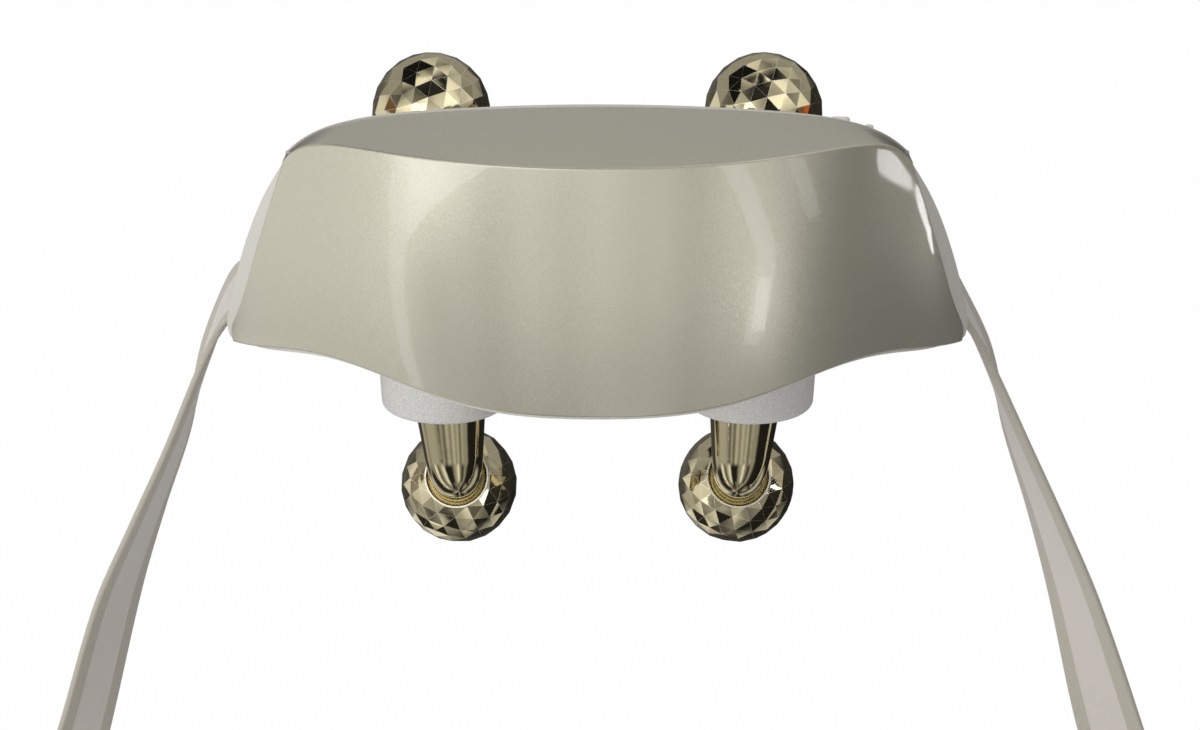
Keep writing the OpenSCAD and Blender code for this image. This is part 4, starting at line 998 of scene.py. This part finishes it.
strap = SimpleNamespace(
    width=24, thick=2.2, bandShare=0.56, bandSink=0.16, edgeShare=0.08, perStation=14, columns=49,
)
strapRoot = [
    [[106.4, -21.7, -2.5], [104.2, -25.6, 8.5], [101.8, -29.3, 19.5]],
    [[114.8, -3.7, -3.5], [113.1, -7.7, 7.5], [111.3, -11.7, 18.5]],
]
strapFoot = [
    [[198, 1.5, -205], [186.5, 5.1, -205], [175, 8.5, -205]],
    [[208, 2, -250], [196.4, 5.1, -250], [184.8, 8, -250]],
    [[215.6, 2, -290], [204, 5.1, -290], [192.4, 8, -290]],
    [[216.6, 2, -310], [205, 5.1, -310], [193.4, 8, -310]],
    [[216.6, 2, -330], [205, 5.1, -330], [193.4, 8, -330]],
]
strapMiddle = {
    "right": [
        [[121.8, -1.8, -11], [118, 5, -3.5], [116.6, 11.6, 4.5]],
        [[128, -5, -21], [125.6, 6, -21], [128, 16.8, -20.5]],
        [[141.3, -6, -50], [136.8, 5.5, -50], [134, 16.5, -50]],
        [[153.5, -5.5, -77], [147.6, 4.7, -77], [142, 15, -77]],
        [[165.3, -3.7, -105], [157.3, 5, -105], [149.2, 13.7, -105]],
        [[181.9, -0.5, -153], [170.8, 5, -153], [159.7, 10.5, -153]],
    ],
    "left": [
        [[122.9, -1.8, -11], [120, 5, -3.5], [119.4, 11.6, 4.5]],
        [[128.8, -5, -21], [126.6, 6, -21], [129, 16.8, -20.5]],
        [[140.8, -6, -50], [136.6, 5.5, -50], [134.5, 16.8, -50]],
        [[153, -6, -77], [147.4, 5, -77], [143.2, 15.5, -77]],
        [[165.2, -4.8, -105], [158.2, 5, -105], [151.2, 14.7, -105]],
        [[179.7, -3.3, -153], [171, 5, -153], [162.4, 13.3, -153]],
    ],
}


# The three points of the section at each g, on cubic curves through the stations
def stations(route, g):
    route = np.array(route, float)
    gap = np.linalg.norm(np.diff(route[:, 1], axis=0), axis=1)
    before = np.concatenate([route[:1], route[:-1]])
    after = np.concatenate([route[1:], route[-1:]])
    reach = np.concatenate([[0], gap]) + np.concatenate([gap, [0]])
    slope = (after - before) / reach[:, None, None]
    k = np.clip(np.floor(g).astype(int), 0, len(route) - 2)
    t = (g - k)[:, None, None]
    r = gap[k][:, None, None]
    p, q, a, b = route[k], route[k + 1], slope[k] * r, slope[k + 1] * r
    return p * (1 + 2 * t) * (1 - t) ** 2 + q * t * t * (3 - 2 * t) + a * t * (1 - t) ** 2 - b * t * t * (1 - t)


# A parabola through the near, middle and far points
def acrossStations(s, t):
    t = t[None, :, None]
    return s[:, None, 0] * t * (t - 1) / 2 + s[:, None, 1] * (1 - t * t) + s[:, None, 2] * t * (t + 1) / 2


# The length run at each point of a path
def lengthRun(path):
    return np.concatenate([[0], np.cumsum(np.linalg.norm(np.diff(path, axis=0), axis=1))])


# A strip with two faces and rounded edges, and a UV map in millimetres: across the strip and along it
def clothSolid(name, middle, normal, half, across, along):
    rows = len(middle)
    upper, lower = middle + normal * half[..., None], middle - normal * half[..., None]
    ring = np.concatenate([upper, lower[:, ::-1]], axis=1)
    width = ring.shape[1]
    faces = [list(f) for f in gridFaces(rows, width, loop=True)]
    faces += [list(range(width)), list(range((rows - 1) * width, rows * width))[::-1]]
    mesh = meshFrom(name, ring, faces)
    u = np.concatenate([across, across[::-1]])
    uv = np.stack(np.broadcast_arrays(u[None, :], along[:, None]), axis=-1).reshape(-1, 2)
    layer = mesh.uv_layers.new(name="cloth")
    corners = np.zeros(len(mesh.loops), int)
    mesh.loops.foreach_get("vertex_index", corners)
    layer.data.foreach_set("uv", uv[corners].astype(np.float32).ravel())
    bm = bmesh.new()
    bm.from_mesh(mesh)
    turnOutwards(bm)
    bm.to_mesh(mesh)
    bm.free()
    return mesh


# Places across a strip from -1 to 1, closer together at its edges, and the half thickness there
def stripColumns():
    t = np.sin(np.linspace(-90, 90, strap.columns) * np.pi / 180)
    edge = np.clip((np.abs(t) - (1 - strap.edgeShare)) / strap.edgeShare, 0, 1)
    half = strap.thick / 2 * np.sqrt(1 - 0.93 * edge ** 2)
    half -= strap.bandSink * np.clip((strap.bandShare - np.abs(t)) / 0.03, 0, 1)
    return t, half


# A strap's mesh along its route, with the area of its middle surface
def strapMesh(name, route, side):
    t, half = stripColumns()
    g = np.linspace(0, len(route) - 1, strap.perStation * (len(route) - 1) + 1)
    here, step = stations(route, g), 0.01
    middle = acrossStations(here, t)
    crossing = acrossStations(here, t + step) - acrossStations(here, t - step)
    normal = unit(np.cross(np.gradient(middle, axis=0), crossing))
    flip = np.array([side, 1, 1])
    mesh = clothSolid(name, middle * flip, normal * flip, np.broadcast_to(half, middle.shape[:2]),
        t * strap.width / 2, lengthRun(middle[:, strap.columns // 2]))
    cells = np.cross(np.diff(middle, axis=0)[:, :-1], np.diff(middle, axis=1)[:-1])
    return mesh, np.linalg.norm(cells, axis=-1).sum()


loop = SimpleNamespace(
    x=205, y=5, z=-330.2, turn=-14.5, r=24, drop=62, side=2.35, top=14, neck=-10,
    thin=2.1, softening=12,
)


# Centre line of the hand loop's webbing: down one side of the strap, round the hand, and up the other side
def loopPath():
    r = loop.r - strap.thick / 2
    centre = np.array([0, -loop.drop])
    knee = np.array([-loop.side, loop.neck])
    away = knee - centre
    lean = math.atan2(away[1], away[0]) + math.acos(r / np.linalg.norm(away))
    arc = np.linspace(lean, 3 * math.pi - lean, 120)
    turn = centre + r * np.stack([np.cos(arc), np.sin(arc)], axis=1)
    down = np.stack([np.full(20, -loop.side), np.linspace(loop.top, loop.neck, 20)], axis=1)
    leg = knee + (turn[0] - knee) * np.linspace(0, 1, 30)[1:-1, None]
    path = np.concatenate([down, leg, turn, (leg * [-1, 1])[::-1], (down * [-1, 1])[::-1]])
    for _ in range(loop.softening):  # the knees
        path[1:-1] = path[1:-1] / 2 + (path[:-2] + path[2:]) / 4
    return path


# From the loop's own thickness, height and width directions to the frame
def loopPlace(points, side):
    thickness, height, width = points[..., 0], points[..., 1], points[..., 2]
    c, s = math.cos(math.radians(loop.turn)), math.sin(math.radians(loop.turn))
    x = loop.x + width * c - thickness * s
    return np.stack([side * x, loop.y + width * s + thickness * c, loop.z + height], axis=-1)


# A hand loop's mesh, with the length of its centre line
def handLoopMesh(name, side):
    t, half = stripColumns()
    half = half * loop.thin / strap.thick
    path, width = loopPath(), t * strap.width / 2
    tangent = unit(np.gradient(path, axis=0))
    normal = np.stack([tangent[:, 1], -tangent[:, 0], np.zeros(len(path))], axis=1)[:, None]
    local = np.stack(np.broadcast_arrays(path[:, :1], path[:, 1:], width), axis=-1)
    middle = loopPlace(local, side)
    length = lengthRun(path)
    mesh = clothSolid(name, middle, loopPlace(local + normal, side) - middle,
        np.broadcast_to(half, middle.shape[:2]), width, length)
    return mesh, length[-1]


# A sewn box with a cross in it, on both faces of the loop's neck, as short round stitches
def stitchMesh(name, side):
    pitch, threadR, high, low, half = 2.2, 0.22, 12, -7, 9.5
    corners = [(-half, low), (half, low), (half, high), (-half, high), (-half, low), (half, high)]
    runs = [*zip(corners[:-1], corners[1:]), ((half, low), (-half, high))]
    face = loop.side + loop.thin / 2
    angle = np.arange(6) * np.pi / 3
    s = np.array([-0.4, -0.3, -0.1, 0.1, 0.3, 0.4]) * pitch
    r = threadR * np.array([0.25, 0.8, 1, 1, 0.8, 0.25])[:, None]
    lift = threadR * np.array([-1, -0.2, 0.25, 0.25, -0.2, -1])[:, None]
    points, faces = [], []
    for out, (start, end) in itertools.product((-1, 1), runs):
        start, way = np.array(start, float), np.array(end, float) - start
        count = max(1, int(np.linalg.norm(way) / pitch))
        direction = unit(way)
        for k in range(count):
            along = start + way * (k + 0.5) / count + s[:, None] * direction
            offset = 36 * len(points)
            points.append(np.stack([
                out * (face + lift + r * np.sin(angle)),
                along[:, 1:2] + r * np.cos(angle) * direction[0],
                along[:, 0:1] + r * np.cos(angle) * -direction[1]], axis=-1).reshape(-1, 3))
            faces += [list(f) for f in gridFaces(6, 6, start=offset, loop=True)]
            faces += [list(range(offset, offset + 6))[::-1], list(range(offset + 30, offset + 36))]
    return tidyMesh(meshFrom(name, loopPlace(np.concatenate(points), side), faces), 0.0001)


for sideName, side in sides.items():
    cloth = ("webbing", look["strap"], 60)
    mesh, area = strapMesh(sideName + "_strap_webbing", strapRoot + strapMiddle[sideName] + strapFoot, side)
    piece = newPiece(sideName + "_strap_webbing", mesh, "housing", [sideName + "_strap"], *cloth)
    mesh, length = handLoopMesh(sideName + "_loop_webbing", side)
    piece = newPiece(sideName + "_loop_webbing", mesh, "housing", [sideName + "_hand_loop"], *cloth)
    stitches = newPiece(sideName + "_loop_stitches", stitchMesh(sideName + "_loop_stitches", side), "housing", [],
        "webbing", look["thread"], 60)
print("straps made")

# The CAD nodes that stay get their finish

finishOf = {
    "button_cap": "button", "nylon": "nylon", "steel": "steel", "circuit_board": "board", "cell_wrap": "wrap",
    "champagne_metal": "gold", "cover_border": "border", "pod_skin": "pod", "pearl_shell": "pearl",
}
slotOf = {row["node"]: row["material_slot"] for row in frame["record"]["subparts"]}
for nodeName, node in frame["nodes"].items():
    if not node.hide_render:
        node.data.materials.clear()
        node.data.materials.append(look[finishOf[slotOf[nodeName]]])
print("CAD nodes dressed")

# Studio: metres and degrees, azimuth 0 at the front and 90 at +X; the camera's own values are in millimetres

studio = SimpleNamespace(
    target=(0.8, 0, -22.5), elevation=20, distance=2000, mmPerPixel=0.325, imageWidth=1200,
    sensorWidth=36, floorZ=-0.44, floorHalf=6.0, floorGlow=0.985, worldLevel=0.45,
    lamps=[  # name, place, size, energy
        ("keyLamp", (-1.3, -1.2, 0.35), (1.0, 1.0), 17),
        ("fillLamp", (1.1, -1.5, 0.2), (0.5, 1.0), 2),
        ("topLamp", (-0.3, -0.2, 1.6), (0.9, 0.9), 9),
    ],
    lampTarget=(0, 0, 0.02), cardWarmth=(1.0, 0.985, 0.93),
)
# Cards that only reflections see: brightness, distance, and stops of elevation and the azimuths of both edges
cards = {
    "leftArc": (1.7, 0.6, [(-32, -52, -49), (-24, -57, -53), (-14, -58.5, -54), (-3, -57, -51.5), (1, -54, -50)]),
    "leftGlow": (2.6, 0.62, [(-9, -55, -54), (-3, -55, -45), (7, -52.5, -25)]),
    "rightArc": (2.0, 0.6, [(-22, 41, 46), (-15, 42, 48.5), (-8, 43.5, 49), (0, 37, 42.5), (6, 31, 36)]),
    "rightArcLow": (4.2, 0.59, [(-20, 43, 47), (-12, 44, 48)]),
    "rightArc2": (1.6, 0.6, [(-6, 58, 62), (-2, 54, 58), (2, 50, 53)]),
    "rightEdge": (9.0, 0.6, [(-13.9, 105.2, 106.4, -14), (-12.3, 102, 104.4, -12.5), (-9.9, 95.4, 98.8, -10.4),
        (-8, 87.6, 92.6, -9.4), (-6.6, 82, 86, -8), (-5, 77, 80.5, -6.6)]),
    # Above the shell's reflections, for the upper balls
    "highDark": (0.01, 0.88, [(40, -165, -85), (72, -165, -85)]),
    "frontDark": (0.02, 0.88, [(15, 12, 46), (34, 12, 46)]),
    "frontBright": (1.9, 0.88, [(13, -42, -8), (31, -42, -8)]),
    "highMiddle": (0.03, 0.88, [(50, -20, 24), (66, -20, 24)]),
}
# Small tinted cards: colour, brightness, distance, stops
accents = {
    "orange": ((1, 0.22, 0.06), 0.6, 0.58, [(3, 86, 91), (8, 86, 91)]),
    "brownRight": ((0.6, 0.36, 0.18), 0.3, 0.6, [(3, 74, 108), (16, 74, 108)]),
    "brownLeft": ((0.6, 0.36, 0.18), 0.3, 0.6, [(3, -106, -78), (16, -106, -78)]),
}
# The wall behind the cards, by azimuth: its brightness at shell height (around) and near the floor (streaks)
wall = SimpleNamespace(
    distance=0.92, step=2, deck=0.34,
    around=[
        (-180, 0.12), (-128, 0.1), (-122, 0.8), (-66, 0.85), (-56, 0.62), (-46, 0.25), (-39, 0.8), (-29, 0.25),
        (-19, 1.1), (-8, 0.5), (1, 1.1), (10, 0.6), (18, 0.95), (26, 0.3), (34, 0.85), (42, 0.6), (52, 0.6),
        (60, 0.03), (172, 0.03), (178, 0.12)],
    streaks=[
        (-170, 0.05), (-140, 0.9), (-120, 0.03), (-96, 0.02), (-86, 1.1), (-72, 0.05), (-60, 0.4), (-47, 1),
        (-38, 0.02), (-14, 0.02), (-4, 0.3), (6, 0.45), (14, 1), (22, 0.3), (34, 0.02), (46, 0.35), (58, 0.02),
        (100, 0.01), (118, 0.6), (134, 0.02)],
    fade=[(-38, 0.5), (-27, 0.55), (-15, 1), (12, 1)],  # what "around" is multiplied by, by elevation
    # Elevations over which the wall turns into the streaks and the deck's part, and where it is calm at all;
    # behind is the same by azimuth
    toStreaks=(-41, -34), toDeck=(9, 15), calm=(-78, -66, 10, 18), calmBehind=(-66, -60, 40, 50), behind=(80, 115),
    # The mottled parts above and below that only the facets see: lowest and highest brightness, and power
    columns=20, rows=10, seed=5, above=(0.01, 1.7, 2), below=(0.01, 0.6, 2.4),
)


def lookAt(thing, place, target):
    thing.location = place
    thing.rotation_mode = "QUATERNION"
    thing.rotation_quaternion = (Vector(target) - Vector(place)).to_track_quat("-Z", "Y")


def addCamera():
    data = bpy.data.cameras.new("photoCamera")
    data.sensor_width = studio.sensorWidth
    data.lens = studio.sensorWidth * studio.distance / (studio.imageWidth * studio.mmPerPixel)
    data.clip_start, data.clip_end = 0.05, 50
    camera = addObject("photoCamera", data)
    target = Vector(studio.target) * mm
    e = math.radians(studio.elevation)
    lookAt(camera, target + Vector((0, -math.cos(e), math.sin(e))) * studio.distance * mm, target)
    bpy.context.scene.camera = camera


# 1 for camera, glossy and transmission rays, so that metal shows the same pale room
def seenRays(tree):
    path = addNode(tree, "LightPath").outputs
    seen = maths(tree, "MAXIMUM", path["Is Camera Ray"], path["Is Glossy Ray"])
    return maths(tree, "MAXIMUM", seen, path["Is Transmission Ray"])


# White where it is seen, and dimmer as a light
def addWorld():
    world = bpy.data.worlds.new("paleRoom")
    world.use_nodes = True
    tree = world.node_tree
    strength = ramp(tree, seenRays(tree), 0, 1, studio.worldLevel, 1.0)
    fill(tree, tree.nodes["Background"].inputs, Color=(1, 1, 1, 1), Strength=strength)
    bpy.context.scene.world = world


# A pale floor, white to the camera with a faint shadow kept
def addFloor():
    half, z = studio.floorHalf / mm, studio.floorZ / mm
    corners = [(x * half, y * half, z) for x, y in ((-1, -1), (1, -1), (1, 1), (-1, 1))]
    mesh = meshFrom("paleFloor", corners, [range(4)])
    material, tree, shader = startMaterial("paleFloor", Base_Color=(0.9, 0.9, 0.9, 1), Roughness=0.8)
    glow = addNode(tree, "Emission", Strength=1.0).outputs[0]
    mix = addNode(tree, "MixShader", _0=maths(tree, "MULTIPLY", seenRays(tree), studio.floorGlow),
        _1=shader.outputs[0], _2=glow)
    fill(tree, tree.nodes["Material Output"].inputs, Surface=mix.outputs[0])
    mesh.materials.append(material)
    addObject("paleFloor", mesh)


# Area lamps that light the part without being seen
def addLamps():
    for name, place, size, energy in studio.lamps:
        data = bpy.data.lights.new(name, "AREA")
        data.shape = "RECTANGLE"
        data.size, data.size_y = size
        data.energy = energy
        lamp = addObject(name, data)
        lookAt(lamp, place, studio.lampTarget)
        lamp.visible_camera = lamp.visible_glossy = False


# Points in millimetres in those directions (in radians), at that distance or just above the floor if that is nearer
def directed(elevation, azimuth, distance):
    reach = np.minimum(distance, 0.99 * studio.floorZ / np.minimum(np.sin(elevation), -1e-6))
    flat = np.cos(elevation)
    points = np.broadcast_arrays(flat * np.sin(azimuth), -flat * np.cos(azimuth), np.sin(elevation))
    return np.stack(points, axis=-1) * reach[..., None] / mm


# A card through stops of elevation and azimuths; a fourth value is the elevation of the second edge
def cardMesh(name, distance, stops):
    stops = np.array([[*stop, stop[0]][:4] for stop in stops], float)
    steps = np.linspace(0, len(stops) - 1, 8 * (len(stops) - 1) + 1)
    near, low, high, far = (np.interp(steps, np.arange(len(stops)), column)[:, None] for column in stops.T)
    across = np.linspace(0, 1, 9)[None]
    elevation, azimuth = np.radians(mixed(near, far, across)), np.radians(mixed(low, high, across))
    return meshFrom(name, directed(elevation, azimuth, distance), gridFaces(*azimuth.shape))


# A card's mesh glows at that level and is seen by reflections alone
def addCard(name, mesh, level, tint):
    material, tree, shader = startMaterial(name, Base_Color=(0, 0, 0, 1), Roughness=1, Specular_IOR_Level=0,
        Emission_Strength=level, Emission_Color=(*tint, 1))
    mesh.materials.append(material)
    card = addObject(name, mesh)
    card.visible_camera = card.visible_diffuse = card.visible_shadow = card.visible_transmission = False
    return tree, shader


# Random values on a grid of directions, blended smoothly: 3t squared less 2t cubed
def mottle(elevation, azimuth, columns, rows, seed):
    spots = np.random.default_rng(seed).random((rows + 2, columns))
    x, y = azimuth / 360 % 1 * columns, (elevation + 90) / 180 * rows
    i, j = np.floor(x).astype(int), np.floor(y).astype(int)
    s, t = (f * f * (3 - 2 * f) for f in (x - i, y - j))
    near, far = i % columns, (i + 1) % columns
    return mixed(mixed(spots[j, near], spots[j, far], s), mixed(spots[j + 1, near], spots[j + 1, far], s), t)


# The wall's brightness by direction: calm at the shell's and the deck's reflections, mottled elsewhere
def wallLevel(elevation, azimuth):
    def along(stops, at, period=None):
        return np.interp(at, *np.array(stops, float).T, period=period)

    calm = along(wall.around, azimuth, 360) * along(wall.fade, elevation)
    calm = mixed(calm, along(wall.streaks, azimuth, 360), np.interp(elevation, wall.toStreaks, (1, 0)))
    behind = np.interp(np.abs(azimuth), wall.behind, (0, 1))
    calm = mixed(calm, wall.deck, behind * np.interp(elevation, wall.toDeck, (0, 1)))
    share = np.maximum(np.interp(elevation, wall.calm, (0, 1, 1, 0)),
        behind * np.interp(elevation, wall.calmBehind, (0, 1, 1, 0)))
    spots = mottle(elevation, azimuth, wall.columns, wall.rows, wall.seed)
    spots = np.clip((spots - 0.15) / 0.7, 0, 1)
    above, below = (low + (high - low) * spots ** power for low, high, power in (wall.above, wall.below))
    return mixed(np.where(elevation > 0, above, below), calm, share)


# The wall: a ball of directions cut short by the floor, with the brightness kept at each point
def addWall():
    elevation, azimuth = np.meshgrid(np.arange(-90, 91, wall.step), np.arange(-180, 181, wall.step),
        indexing="ij")
    points = directed(np.radians(elevation), np.radians(azimuth), wall.distance)
    mesh = meshFrom("wallCard", points, gridFaces(*elevation.shape))
    levels = wallLevel(elevation, azimuth).ravel().astype(np.float32)
    mesh.attributes.new("level", "FLOAT", "POINT").data.foreach_set("value", levels)
    tree, shader = addCard("wallCard", mesh, 0, studio.cardWarmth)
    level = addNode(tree, "Attribute", {"attribute_name": "level"}).outputs["Fac"]
    fill(tree, shader.inputs, Emission_Strength=level)


# Faint cards are tinted by the warmth, and bright ones are white
def addCards():
    addWall()
    for name, (level, distance, stops) in cards.items():
        tint = mixed(np.array(studio.cardWarmth), np.ones(3), min(1, level))
        addCard(name, cardMesh(name, distance, stops), level, tint)
    for name, (tint, level, distance, stops) in accents.items():
        addCard(name, cardMesh(name, distance, stops), level, tint)


addCamera()
addWorld()
addFloor()
addLamps()
addCards()
bpy.context.scene.view_settings.view_transform = "Standard"
print("studio set")
